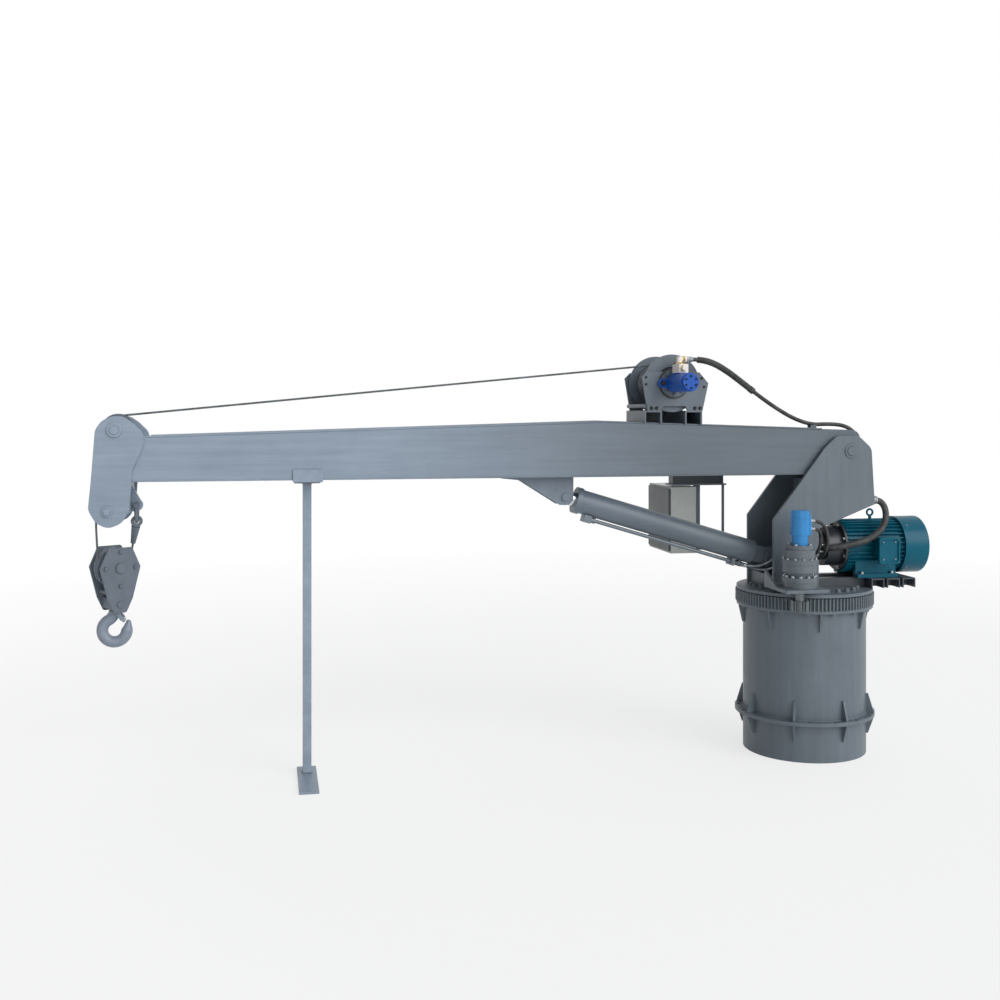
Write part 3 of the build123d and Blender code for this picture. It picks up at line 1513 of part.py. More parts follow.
with BuildPart() as winch_hose:
    add(hose("winch hose", winch_hose_route, winch_hose_d))
save(winch_hose, "winch_hose")

# Drum and the layer of rope on it


def on_drum(turn):
    """Centre of the rope on the drum and its direction, counted back from where it leaves."""
    angle = 2 * math.pi * turn
    radial = lead_up * math.cos(angle) - lead_dir * math.sin(angle)
    around_drum = lead_up * -math.sin(angle) - lead_dir * math.cos(angle)
    place = drum_centre + radial * drum_rope_r + Vector(0, winding_pitch * turn, 0)
    along = around_drum * (2 * math.pi * drum_rope_r) + Vector(0, winding_pitch, 0)
    return place, along.normalized()


def biarc_joint(start, start_dir, end, end_dir):
    """Where two tangent arcs between two directed points meet, and their direction there."""
    chord = end - start
    both = chord.dot(start_dir + end_dir)
    spread = 2 * (1 - start_dir.dot(end_dir))
    reach = (math.sqrt(both**2 + spread * chord.dot(chord)) - both) / spread
    first = start + start_dir * reach
    last = end - end_dir * reach
    return (first + last) * 0.5, (last - first).normalized()


rope_end, rope_end_dir = on_drum(winding_turns)

with BuildPart() as winding:
    with BuildLine() as winding_path:
        place, along = on_drum(0)
        winding_start = place - along * rope_d
        Line(winding_start, place)
        for half_turn in range(2 * winding_turns):
            start, start_dir = on_drum(half_turn / 2)
            end, end_dir = on_drum((half_turn + 1) / 2)
            joint, joint_dir = biarc_joint(start, start_dir, end, end_dir)
            TangentArc(start, joint, tangent=start_dir)
            TangentArc(joint, end, tangent=joint_dir)
        Line(rope_end, rope_end + rope_end_dir * rope_d)
    with BuildSketch(Plane(origin=winding_start, z_dir=along)):
        Circle(rope_r)
    sweep()
save(winding, "rope_winding")

per_turn = 48
samples = [on_drum(index / per_turn)[0] for index in range(per_turn * winding_turns + 1)]
least = min(
    (a - b).length
    for index, a in enumerate(samples)
    for b in samples[index + per_turn // 2 : index + per_turn * 3 // 2]
)
print("rope winding least gap to itself", round(least - rope_d, 3))

with BuildPart() as drum:
    core_r = drum_rope_r - rope_r - skin_gap
    drum_out = drum_half + drum_flange_t
    add(rod_y(winch_x, z_drum, core_r, -drum_out, drum_out))
    for side in (-1, 1):
        y_low = min(side * drum_half, side * drum_out)
        add(rod_y(winch_x, z_drum, drum_flange_r, y_low, y_low + drum_flange_t))
    add(rod_y(winch_x, z_drum, core_r - drum_wall, -drum_out, drum_out), mode=Mode.SUBTRACT)
    add(rod_y(winch_x, z_drum, core_r, -drum_wall / 2, drum_wall / 2))
    add(rod_y(winch_x, z_drum, drum_shaft_d / 2, -shaft_reach, shaft_reach))
    rope_tail = rope_end + rope_end_dir * rope_d
    wedge_low = rope_r + skin_gap - winding_pitch
    wedge_high = drum_half - rope_tail.Y
    with BuildSketch(Plane(origin=rope_tail, x_dir=(0, 1, 0), z_dir=rope_end_dir)):
        with Locations(((wedge_low + wedge_high) / 2, -skin_gap)):
            Rectangle(wedge_high - wedge_low, rope_d + 4 * skin_gap)
    extrude(amount=2 * rope_d)
save(drum, "winch_drum")

# Dead end of the rope: a shackle through the anchor and a wedge socket on it

z_bow = z_anchor - shackle_drop
bow_bottom = Vector(anchor_x, 0, z_bow - shackle_half)
fall_left = block_centre - block_along * block_rope_r
fall_right = block_centre + block_along * block_rope_r
fall_rise = Vector(0, 0, 60)
socket_dir = (fall_right + fall_rise - bow_bottom).normalized()
rope_exit = bow_bottom + socket_dir * socket_len

with BuildPart() as shackle:
    with BuildLine():
        Line((anchor_x, shackle_half, z_anchor), (anchor_x, shackle_half, z_bow))
        ThreePointArc((anchor_x, shackle_half, z_bow), bow_bottom, (anchor_x, -shackle_half, z_bow))
        Line((anchor_x, -shackle_half, z_bow), (anchor_x, -shackle_half, z_anchor))
    with BuildSketch(Plane(origin=(anchor_x, shackle_half, z_anchor), z_dir=(0, 0, -1))):
        Circle(shackle_wire / 2)
    sweep()
    for side in (-1, 1):
        y_low = side * shackle_half - shackle_ear_t / 2
        add(rod_y(anchor_x, z_anchor, shackle_ear_r, y_low, y_low + shackle_ear_t))
    pin_out = shackle_half + shackle_ear_t / 2 + pin_proud
    add(rod_y(anchor_x, z_anchor, shackle_pin_d / 2, -pin_out, pin_out))
save(shackle, "shackle")

with BuildPart() as socket:
    half = socket_eye_t / 2
    add(rod_y(anchor_x, bow_bottom.Z, socket_eye_r, -half, half))
    cone_start = bow_bottom + socket_dir * (socket_eye_r - side_gap)
    with BuildSketch(Plane(origin=cone_start, x_dir=(1, 0, 0), z_dir=socket_dir)):
        Circle(socket_top_r)
    with BuildSketch(Plane(origin=rope_exit, x_dir=(1, 0, 0), z_dir=socket_dir)):
        Circle(socket_low_r)
    loft()
    hole_r = shackle_wire / 2 + side_gap + rope_r / 4
    add(rod_y(anchor_x, bow_bottom.Z + side_gap / 2, hole_r, -half, half), mode=Mode.SUBTRACT)
save(socket, "rope_socket")

with BuildPart() as falls:
    fall_points = [
        guide_out + to_guide * side_gap,
        guide_out + to_guide * 70,
        fall_left + fall_rise,
        fall_left,
    ]
    with BuildLine():
        FilletPolyline(*fall_points, radius=[180, 170])
        ThreePointArc(fall_left, block_centre - Vector(0, 0, block_rope_r), fall_right)
        FilletPolyline(fall_right, fall_right + fall_rise, rope_exit, radius=120)
    with BuildSketch(Plane(origin=fall_points[0], z_dir=to_guide)):
        Circle(rope_r)
    sweep()
save(falls, "rope_falls")

# Hook block

cheek_low = block_half_t - block_plate_t
block_outline = [
    (-55, 92),
    (55, 92),
    (95, 2),
    (58, -140),
    (28, -cross_drop - 38),
    (-28, -cross_drop - 38),
    (-58, -140),
    (-95, 2),
]

with BuildPart() as block_cheeks:
    for start in (-block_half_t, cheek_low):
        with BuildSketch(block_plane.offset(start)) as outline:
            with BuildLine():
                Polyline(*block_outline, close=True)
            make_face()
            fillet(outline.vertices(), block_plate_t)
        extrude(amount=block_plate_t)
    pin_bore = block_pin_d / 2 + run_gap
    add(round_on(block_plane, pin_bore, -block_half_t, block_half_t), mode=Mode.SUBTRACT)
    cross_plane = Plane(origin=block_centre - Vector(0, 0, cross_drop), x_dir=block_along, z_dir=block_out)
    trunnion_r = cross_h / 3
    add(round_on(cross_plane, trunnion_r + run_gap, -block_half_t, block_half_t), mode=Mode.SUBTRACT)
save(block_cheeks, "block_cheeks")

with BuildPart() as block_pins:
    nut_out = block_half_t + block_nut_t
    add(round_on(block_plane, block_pin_d / 2, -block_half_t, block_half_t))
    sleeve_in = block_sheave_w / 2 + side_gap
    for low, high in ((-cheek_low, -sleeve_in), (sleeve_in, cheek_low)):
        add(round_on(block_plane, block_nut_d / 2, low, high))
    for low, high in ((-nut_out, -block_half_t), (block_half_t, nut_out)):
        add(round_on(block_plane, block_nut_d / 2, low, high))
    add(round_on(cross_plane, trunnion_r, -block_half_t - block_nut_t / 2, block_half_t + block_nut_t / 2))
    with BuildSketch(cross_plane.offset(-cheek_low)):
        Rectangle(cross_w, cross_h)
    extrude(amount=2 * cheek_low)
    z_cross_top = z_block - cross_drop + cross_h / 2
    shank_bore = hook_shank_d / 2 + run_gap
    add(rod_z(block_x, 0, shank_bore, z_cross_top - cross_h, z_cross_top), mode=Mode.SUBTRACT)
    for side in (-1, 1):
        spacer_at = block_centre + block_along * (side * 42) - Vector(0, 0, 112)
        spacer_plane = Plane(origin=spacer_at, x_dir=block_along, z_dir=block_out)
        add(round_on(spacer_plane, spacer_d / 2, -cheek_low, cheek_low))
save(block_pins, "block_pins")

with BuildPart() as lower_sheave:
    wheel_part = sheave(block_rope_r, block_lip, block_sheave_w, block_pin_d)
    add(wheel_part.moved(Location(block_centre, (0, 0, block_yaw))))
save(lower_sheave, "block_sheave")

# Hook with its nut on the crosshead, and the safety latch

z_hook = z_block - hook_centre_drop
z_neck = z_block - hook_neck_drop
bend_half = Vector(hook_bowl_r / 2, 0, (z_neck - z_hook) / 2)
bend_angle = 2 * math.atan2(bend_half.X, bend_half.Z)
bend_r = bend_half.Z / math.sin(bend_angle)
section_r = hook_section / 2
tip = Vector(block_x + hook_bowl_r + hook_tip_rise / 5, 0, z_hook + hook_tip_rise)
tip_r = section_r * 0.45
latch_pin = Vector(block_x + section_r * 0.55, 0, z_neck - latch_pin_d)

with BuildPart() as hook:
    neck = Vector(block_x, 0, z_neck)
    middle = neck - bend_half
    bowl_start = Vector(block_x - hook_bowl_r, 0, z_hook)
    bowl_low = Vector(block_x, 0, z_hook - hook_bowl_r)
    bowl_end = Vector(block_x + hook_bowl_r, 0, z_hook)
    with BuildLine():
        TangentArc(neck, middle, tangent=(0, 0, -1))
        TangentArc(middle, bowl_start, tangent=(-math.sin(bend_angle), 0, -math.cos(bend_angle)))
        ThreePointArc(bowl_start, bowl_low, bowl_end)
    with BuildSketch(Plane(origin=neck, z_dir=(0, 0, -1))):
        Circle(section_r)
    sweep()
    with BuildSketch(Plane(origin=bowl_end, x_dir=(1, 0, 0), z_dir=(0, 0, 1))):
        Circle(section_r)
    with BuildSketch(Plane(origin=tip, x_dir=(1, 0, 0), z_dir=(0, 0, 1))):
        Circle(tip_r)
    loft()
    with Locations(tip):
        Sphere(tip_r)
    nut_low = z_cross_top + skin_gap
    add(rod_z(block_x, 0, hook_shank_d / 2, z_neck, nut_low))
    add(rod_z(block_x, 0, hook_nut_d / 2, nut_low, nut_low + hook_nut_h))
    bore = latch_pin_d / 2 + run_gap
    add(rod_y(latch_pin.X, latch_pin.Z, bore, -section_r, section_r), mode=Mode.SUBTRACT)
save(hook, "hook")

latch_tip = Vector(tip.X - tip_r - latch_t / 2, 0, tip.Z + tip_r / 2)
latch_dir = (latch_tip - latch_pin).normalized()
latch_len = (latch_tip - latch_pin).length
latch_plane = Plane(origin=latch_pin, x_dir=(0, 1, 0), z_dir=latch_dir)
ear_in = section_r + side_gap
ear_out = ear_in + latch_ear_t

with BuildPart() as latch:
    add(rod_y(latch_pin.X, latch_pin.Z, latch_pin_d / 2, -ear_out, ear_out))
    for side in (-1, 1):
        y_low = min(side * ear_in, side * ear_out)
        add(rod_y(latch_pin.X, latch_pin.Z, latch_pin_d, y_low, y_low + latch_ear_t))
        with BuildSketch(latch_plane):
            with Locations((side * (ear_in + latch_ear_t / 2), 0)):
                Rectangle(latch_ear_t, 2 * latch_t)
        extrude(amount=latch_len * 0.75)
    with BuildSketch(latch_plane.offset(latch_len * 0.62)):
        Rectangle(2 * ear_out, latch_t)
    extrude(amount=latch_len * 0.38)
save(latch, "hook_latch")
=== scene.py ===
"""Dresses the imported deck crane: paint, ropes, hoses, welds, small fittings and a studio stage."""

import math

import bmesh
import bpy
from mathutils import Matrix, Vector


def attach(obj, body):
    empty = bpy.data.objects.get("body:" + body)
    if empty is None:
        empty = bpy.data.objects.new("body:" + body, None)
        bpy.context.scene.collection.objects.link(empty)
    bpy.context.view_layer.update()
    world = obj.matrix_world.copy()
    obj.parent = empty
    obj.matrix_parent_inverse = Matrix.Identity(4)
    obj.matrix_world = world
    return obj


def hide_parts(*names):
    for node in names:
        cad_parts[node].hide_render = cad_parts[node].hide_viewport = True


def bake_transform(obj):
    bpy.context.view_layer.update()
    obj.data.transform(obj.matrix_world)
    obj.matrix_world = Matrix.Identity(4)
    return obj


bl_info = {
    "name": "Deck crane dressing",
    "version": (1, 0, 0),
    "blender": (4, 5, 0),
    "location": "View3D > Sidebar > Crane",
    "description": "Paints the packed deck crane and adds its ropes, hoses, welds and fittings",
    "category": "Object",
}

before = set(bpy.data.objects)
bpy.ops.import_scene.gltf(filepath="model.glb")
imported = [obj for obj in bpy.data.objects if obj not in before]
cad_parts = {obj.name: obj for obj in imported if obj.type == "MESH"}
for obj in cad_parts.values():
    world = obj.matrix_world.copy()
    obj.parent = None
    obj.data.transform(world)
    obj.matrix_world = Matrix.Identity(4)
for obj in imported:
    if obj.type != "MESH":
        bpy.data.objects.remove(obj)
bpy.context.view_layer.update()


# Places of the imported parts, in millimetres

drum_x, drum_z = -750, 1847.63
shaft_z = 1022
gearbox_x, gearbox_y = -176.05, -331.11
block_x, block_z = -3377, 1000
door_x = -555
post_x = -2508
tube_radius = 305

# Width of pattern that goes once round a rope or hose, in metres
pattern_round = 0.06


# Small helpers for numbers and nodes


def linear(code):
    """An sRGB hex code as a linear colour."""
    channels = [int(code[index : index + 2], 16) / 255 for index in (1, 3, 5)]
    return tuple(c / 12.92 if c <= 0.04045 else ((c + 0.055) / 1.055) ** 2.4 for c in channels)


def per_mm(size):
    """The texture scale whose marks are about so many millimetres wide."""
    return 1000.0 / size


def at(x, y, z):
    """A place given in the part's millimetres."""
    return Vector((x, y, z)) / 1000


def rgba(colour, factor=1.0):
    """A colour with its alpha, made lighter or darker by a factor."""
    return (*(min(channel * factor, 1.0) for channel in colour), 1.0)


def circle(radius, count, start=0.0):
    """Points evenly round a circle, the first at start, in degrees."""
    angles = [math.radians(start) + 2 * math.pi * index / count for index in range(count)]
    return [(radius * math.cos(angle), radius * math.sin(angle)) for angle in angles]


def set_inputs(tree, node, inputs):
    """Links or sets the inputs of a node, by name or number."""
    for key, value in inputs.items():
        if isinstance(value, bpy.types.NodeSocket):
            tree.links.new(value, node.inputs[key])
        else:
            node.inputs[key].default_value = value


def add_node(tree, kind, inputs=None, **settings):
    """Adds one node, sets its properties, and links or sets its inputs."""
    made = tree.nodes.new("ShaderNode" + kind)
    for name, value in settings.items():
        setattr(made, name, value)
    set_inputs(tree, made, inputs or {})
    return made


# Sizes and colours that a user would change


class CranePaints(bpy.types.PropertyGroup):
    """Colours of the crane's finishes."""

    boom: bpy.props.FloatVectorProperty(
        name="Boom enamel",
        description="Grey of the boom near its head",
        subtype="COLOR",
        default=linear("#8c9aa9"),
    )
    # Painted shade: the boom's darker grey near its heel stands for the shade there, not for another paint
    heel: bpy.props.FloatVectorProperty(
        name="Heel enamel",
        description="Grey of the boom near its heel",
        subtype="COLOR",
        default=linear("#606a73"),
    )
    # Painted shade: the column's grey is darker than the boom's head to stand for the shade round the tower
    column: bpy.props.FloatVectorProperty(
        name="Column enamel",
        description="Grey of the pedestal and tower",
        subtype="COLOR",
        default=linear("#656f77"),
    )
    block: bpy.props.FloatVectorProperty(
        name="Block enamel",
        description="Grey of the hook block",
        subtype="COLOR",
        default=linear("#626b75"),
    )
    cabinet: bpy.props.FloatVectorProperty(
        name="Cabinet coat",
        description="Pale grey of the control cabinet",
        subtype="COLOR",
        default=linear("#d3d7d1"),
    )
    # Painted shade: the door side is darker because it stands for that side in shade, not for a darker paint
    door: bpy.props.FloatVectorProperty(
        name="Door coat",
        description="Dark grey of the cabinet's door",
        subtype="COLOR",
        default=linear("#555a5a"),
    )
    drive_blue: bpy.props.FloatVectorProperty(
        name="Slew motor blue",
        description="Blue of the slewing motor",
        subtype="COLOR",
        default=linear("#2385c6"),
    )
    winch_blue: bpy.props.FloatVectorProperty(
        name="Winch motor blue",
        description="Blue of the winch motor",
        subtype="COLOR",
        default=linear("#1d59b4"),
    )
    motor_teal: bpy.props.FloatVectorProperty(
        name="Motor teal",
        description="Teal of the electric motor",
        subtype="COLOR",
        default=linear("#055d72"),
    )


class RopeSizes(bpy.types.PropertyGroup):
    """The hoist rope."""

    diameter: bpy.props.FloatProperty(
        name="Rope diameter", description="Across the whole rope", default=0.010, unit="LENGTH"
    )
    lay: bpy.props.FloatProperty(
        name="Lay length", description="Length of one full turn of a strand", default=0.065, unit="LENGTH"
    )
    strands: bpy.props.IntProperty(name="Strands", description="Strands round the core", default=6)


class HoseSizes(bpy.types.PropertyGroup):
    """Outside diameters of the hoses."""

    winch: bpy.props.FloatProperty(
        name="Winch hose", description="Hose from the tank to the winch", default=0.020, unit="LENGTH"
    )
    suction: bpy.props.FloatProperty(
        name="Suction hose", description="Hose from the tank to the pump", default=0.032, unit="LENGTH"
    )
    slew: bpy.props.FloatProperty(
        name="Slew hose", description="Hoses of the slewing motor", default=0.016, unit="LENGTH"
    )
    luff: bpy.props.FloatProperty(
        name="Luff hose", description="Hoses of the luff cylinder", default=0.018, unit="LENGTH"
    )
    guard_start: bpy.props.FloatProperty(
        name="Guard start", description="Where the winch hose's guard starts, as a share", default=0.04
    )
    guard_end: bpy.props.FloatProperty(
        name="Guard end", description="Where the winch hose's guard ends, as a share", default=0.33
    )


class WeldSizes(bpy.types.PropertyGroup):
    """The weld beads."""

    radius: bpy.props.FloatProperty(
        name="Bead radius", description="Half the width of a bead", default=0.0045, unit="LENGTH"
    )
    ripple: bpy.props.FloatProperty(
        name="Ripple", description="Length of one ripple of a bead", default=0.009, unit="LENGTH"
    )


class StageSettings(bpy.types.PropertyGroup):
    """Camera and light."""

    eye: bpy.props.FloatVectorProperty(
        name="Eye", description="Place of the camera", default=(-2.695, -5.724, 1.717), subtype="TRANSLATION"
    )
    look: bpy.props.FloatVectorProperty(
        name="Look", description="Direction of the camera", default=(0.191, 0.982, 0.0), subtype="DIRECTION"
    )
    lens: bpy.props.FloatProperty(
        name="Lens", description="Focal length in millimetres", default=43.2, subtype="DISTANCE_CAMERA"
    )
    shift: bpy.props.FloatProperty(name="Shift", description="Drop of the picture's centre", default=-0.09)
    key: bpy.props.FloatProperty(name="Key light", description="Strength of the soft sun", default=1.25)
    fill: bpy.props.FloatProperty(
        name="Fill light", description="Strength of the sun from the front", default=0.7
    )
    sky: bpy.props.FloatProperty(
        name="Sky light", description="Strength of the sky on the right", default=0.92
    )
    shade: bpy.props.FloatProperty(
        name="Shaded sky", description="Strength of the sky on the left", default=0.12
    )


# Finishes


def start_material(name):
    """A new material with its shader, and coordinates in metres that go with the piece."""
    material = bpy.data.materials.new(name)
    material.use_nodes = True
    tree = material.node_tree
    place = add_node(tree, "TexCoord").outputs["Object"]
    return material, tree, tree.nodes["Principled BSDF"], place


def enamel(name, paint, grain, patch, gloss, relief, edge=4.0, painted_shade_split=None, shine=0.5):
    """Enamel over steel, worn to a paler tone along its edges.

    grain is the three sizes of its brush or casting marks, patch the size of its clouds and edge the width
    of the wear, in millimetres. gloss is its middle roughness, relief the depth of its marks and shine the
    strength of its reflections. painted_shade_split is a second paint and the two places along X, in
    millimetres, between which it takes over; it paints shade, a darker tone where less light falls.
    """
    material, tree, shader, place = start_material(name)
    body = rgba(paint)
    # The second paint along X paints shade: a darker tone where less light falls.
    if painted_shade_split:
        other, start, end = painted_shade_split
        along = add_node(tree, "SeparateXYZ", {0: place}).outputs["X"]
        reach = {"Value": along, "From Min": start / 1000, "From Max": end / 1000}
        share = add_node(tree, "MapRange", reach).outputs[0]
        body = add_node(tree, "Mix", {0: share, 6: body, 7: rgba(other)}, data_type="RGBA").outputs[2]
    scales = tuple(per_mm(size) for size in grain)
    stretched = add_node(tree, "Mapping", {"Vector": place, "Scale": scales})
    marks = add_node(
        tree, "TexNoise", {"Vector": stretched.outputs[0], "Scale": 1.0, "Detail": 4.0, "Roughness": 0.6}
    )
    clouds = add_node(
        tree, "TexNoise", {"Vector": place, "Scale": per_mm(patch), "Detail": 5.0, "Roughness": 0.62}
    )
    mark_share = add_node(
        tree, "MapRange", {"Value": marks.outputs[0], "From Min": 0.3, "From Max": 0.7}
    ).outputs[0]
    cloud_share = add_node(
        tree, "MapRange", {"Value": clouds.outputs[0], "From Min": 0.32, "From Max": 0.68}
    ).outputs[0]
    streaks = add_node(
        tree, "Mix", {0: mark_share, 6: (0.9, 0.9, 0.9, 1.0), 7: (1.08, 1.08, 1.08, 1.0)}, data_type="RGBA"
    ).outputs[2]
    streaked = add_node(
        tree, "Mix", {0: 1.0, 6: body, 7: streaks}, data_type="RGBA", blend_type="MULTIPLY"
    ).outputs[2]
    patched = add_node(
        tree, "Mix", {0: cloud_share, 6: (0.86, 0.87, 0.89, 1.0), 7: (1.0, 1.0, 1.0, 1.0)}, data_type="RGBA"
    ).outputs[2]
    toned = add_node(
        tree, "Mix", {0: 1.0, 6: streaked, 7: patched}, data_type="RGBA", blend_type="MULTIPLY"
    ).outputs[2]
    round_edge = add_node(tree, "Bevel", {"Radius": edge / 1000}, samples=4).outputs[0]
    flat = add_node(tree, "NewGeometry").outputs["Normal"]
    facing = add_node(tree, "VectorMath", {0: round_edge, 1: flat}, operation="DOT_PRODUCT").outputs["Value"]
    edge_share = add_node(
        tree, "MapRange", {"Value": facing, "From Min": 0.995, "From Max": 0.86, "To Max": 0.55}
    ).outputs[0]
    worn = add_node(tree, "Math", {0: edge_share, 1: mark_share}, operation="MULTIPLY").outputs[0]
    rubbed = add_node(
        tree, "Mix", {0: 1.0, 6: body, 7: (1.45, 1.45, 1.45, 1.0)}, data_type="RGBA", blend_type="MULTIPLY"
    ).outputs[2]
    colour = add_node(tree, "Mix", {0: worn, 6: toned, 7: rubbed}, data_type="RGBA").outputs[2]
    sheen = {"From Min": 0.3, "From Max": 0.7, "To Min": gloss - 0.07, "To Max": gloss + 0.09}
    rough = add_node(tree, "MapRange", {"Value": clouds.outputs[0], **sheen}).outputs[0]
    depth = {"Strength": relief, "Distance": 0.001, "Normal": round_edge}
    bump = add_node(tree, "Bump", {"Height": marks.outputs[0], **depth}).outputs[0]
    set_inputs(tree, shader, {"Base Color": colour, "Roughness": rough, "Normal": bump})
    set_inputs(tree, shader, {"IOR": 1.5, "Specular IOR Level": shine})
    return material


def metal(name, tint, rough_low, rough_high, patch, relief, metallic=1.0):
    """A bare metal, with marks of its making as large as patch, in millimetres."""
    material, tree, shader, place = start_material(name)
    marks = add_node(
        tree, "TexNoise", {"Vector": place, "Scale": per_mm(patch), "Detail": 6.0, "Roughness": 0.65}
    ).outputs[0]
    spread = {"Value": marks, "From Min": 0.3, "From Max": 0.7}
    share = add_node(tree, "MapRange", spread).outputs[0]
    colour = add_node(
        tree, "Mix", {0: share, 6: rgba(tint, 0.78), 7: rgba(tint, 1.1)}, data_type="RGBA"
    ).outputs[2]
    rough = add_node(tree, "MapRange", {**spread, "To Min": rough_low, "To Max": rough_high}).outputs[0]
    bump = add_node(tree, "Bump", {"Height": marks, "Strength": relief, "Distance": 0.0006}).outputs[0]
    set_inputs(tree, shader, {"Base Color": colour, "Roughness": rough, "Normal": bump, "Metallic": metallic})
    return material


def wire_rope():
    """Galvanised wire rope: dull wires laid in strands, darker between the drawn wires."""
    material, tree, shader, place = start_material("galvanised_wire_rope")
    route = add_node(tree, "TexCoord").outputs["UV"]
    # The wires are about 0.7 mm thick; they are drawn 2 mm wide, as fine as a close view can show.
    wires = add_node(
        tree, "TexWave", {"Vector": route, "Scale": per_mm(13), "Distortion": 0.4}, bands_direction="DIAGONAL"
    ).outputs["Fac"]
    grime = add_node(
        tree, "TexNoise", {"Vector": place, "Scale": per_mm(60), "Detail": 6.0, "Roughness": 0.7}
    )
    grime_share = add_node(
        tree, "MapRange", {"Value": grime.outputs[0], "From Min": 0.35, "From Max": 0.65}
    ).outputs[0]
    tone = add_node(
        tree, "Mix", {0: wires, 6: rgba(linear("#4b5054")), 7: rgba(linear("#9aa1a7"))}, data_type="RGBA"
    ).outputs[2]
    colour = add_node(
        tree, "Mix", {0: grime_share, 6: tone, 7: rgba(linear("#55595b"))}, data_type="RGBA"
    ).outputs[2]
    bump = add_node(tree, "Bump", {"Height": wires, "Strength": 0.5, "Distance": 0.0006}).outputs[0]
    set_inputs(tree, shader, {"Base Color": colour, "Normal": bump, "Metallic": 0.55, "Roughness": 0.5})
    return material


def hose_cover(name, clean, dusty, weave, metallic, rough):
    """A hose's outside: a diagonal weave with dust on it, drawn at a size of weave, in millimetres.

    The weave's bands repeat at a little under half of that size.
    """
    material, tree, shader, place = start_material(name)
    route = add_node(tree, "TexCoord").outputs["UV"]
    bands = {"Vector": route, "Scale": per_mm(weave), "Distortion": 0.6}
    wrap = add_node(tree, "TexWave", bands, bands_direction="DIAGONAL").outputs["Fac"]
    dust = add_node(
        tree, "TexNoise", {"Vector": place, "Scale": per_mm(45), "Detail": 5.0, "Roughness": 0.65}
    )
    dust_share = add_node(
        tree, "MapRange", {"Value": dust.outputs[0], "From Min": 0.4, "From Max": 0.75}
    ).outputs[0]
    colour = add_node(
        tree, "Mix", {0: dust_share, 6: rgba(linear(clean)), 7: rgba(linear(dusty))}, data_type="RGBA"
    ).outputs[2]
    bump = add_node(tree, "Bump", {"Height": wrap, "Strength": 0.35, "Distance": 0.0006}).outputs[0]
    set_inputs(tree, shader, {"Base Color": colour, "Normal": bump, "Metallic": metallic, "Roughness": rough})
    return material


def lever_finish():
    """Zinc-plated lever with a black phenolic ball at its top."""
    ball_start = 1.528
    material, tree, shader, place = start_material("zinc_lever_black_ball")
    height = add_node(tree, "SeparateXYZ", {0: place}).outputs["Z"]
    ball = add_node(tree, "Math", {0: height, 1: ball_start}, operation="GREATER_THAN").outputs[0]
    marks = add_node(tree, "TexNoise", {"Vector": place, "Scale": per_mm(8), "Detail": 4.0}).outputs[0]
    zinc = add_node(
        tree, "Mix", {0: marks, 6: rgba(linear("#8d9296")), 7: rgba(linear("#b9bdc0"))}, data_type="RGBA"
    ).outputs[2]
    colour = add_node(
        tree, "Mix", {0: ball, 6: zinc, 7: rgba(linear("#161617"))}, data_type="RGBA"
    ).outputs[2]
    bare = add_node(tree, "Math", {0: 1.0, 1: ball}, operation="SUBTRACT").outputs[0]
    rough = add_node(tree, "MapRange", {"Value": ball, "To Min": 0.4, "To Max": 0.22}).outputs[0]
    set_inputs(tree, shader, {"Base Color": colour, "Metallic": bare, "Roughness": rough})
    return material


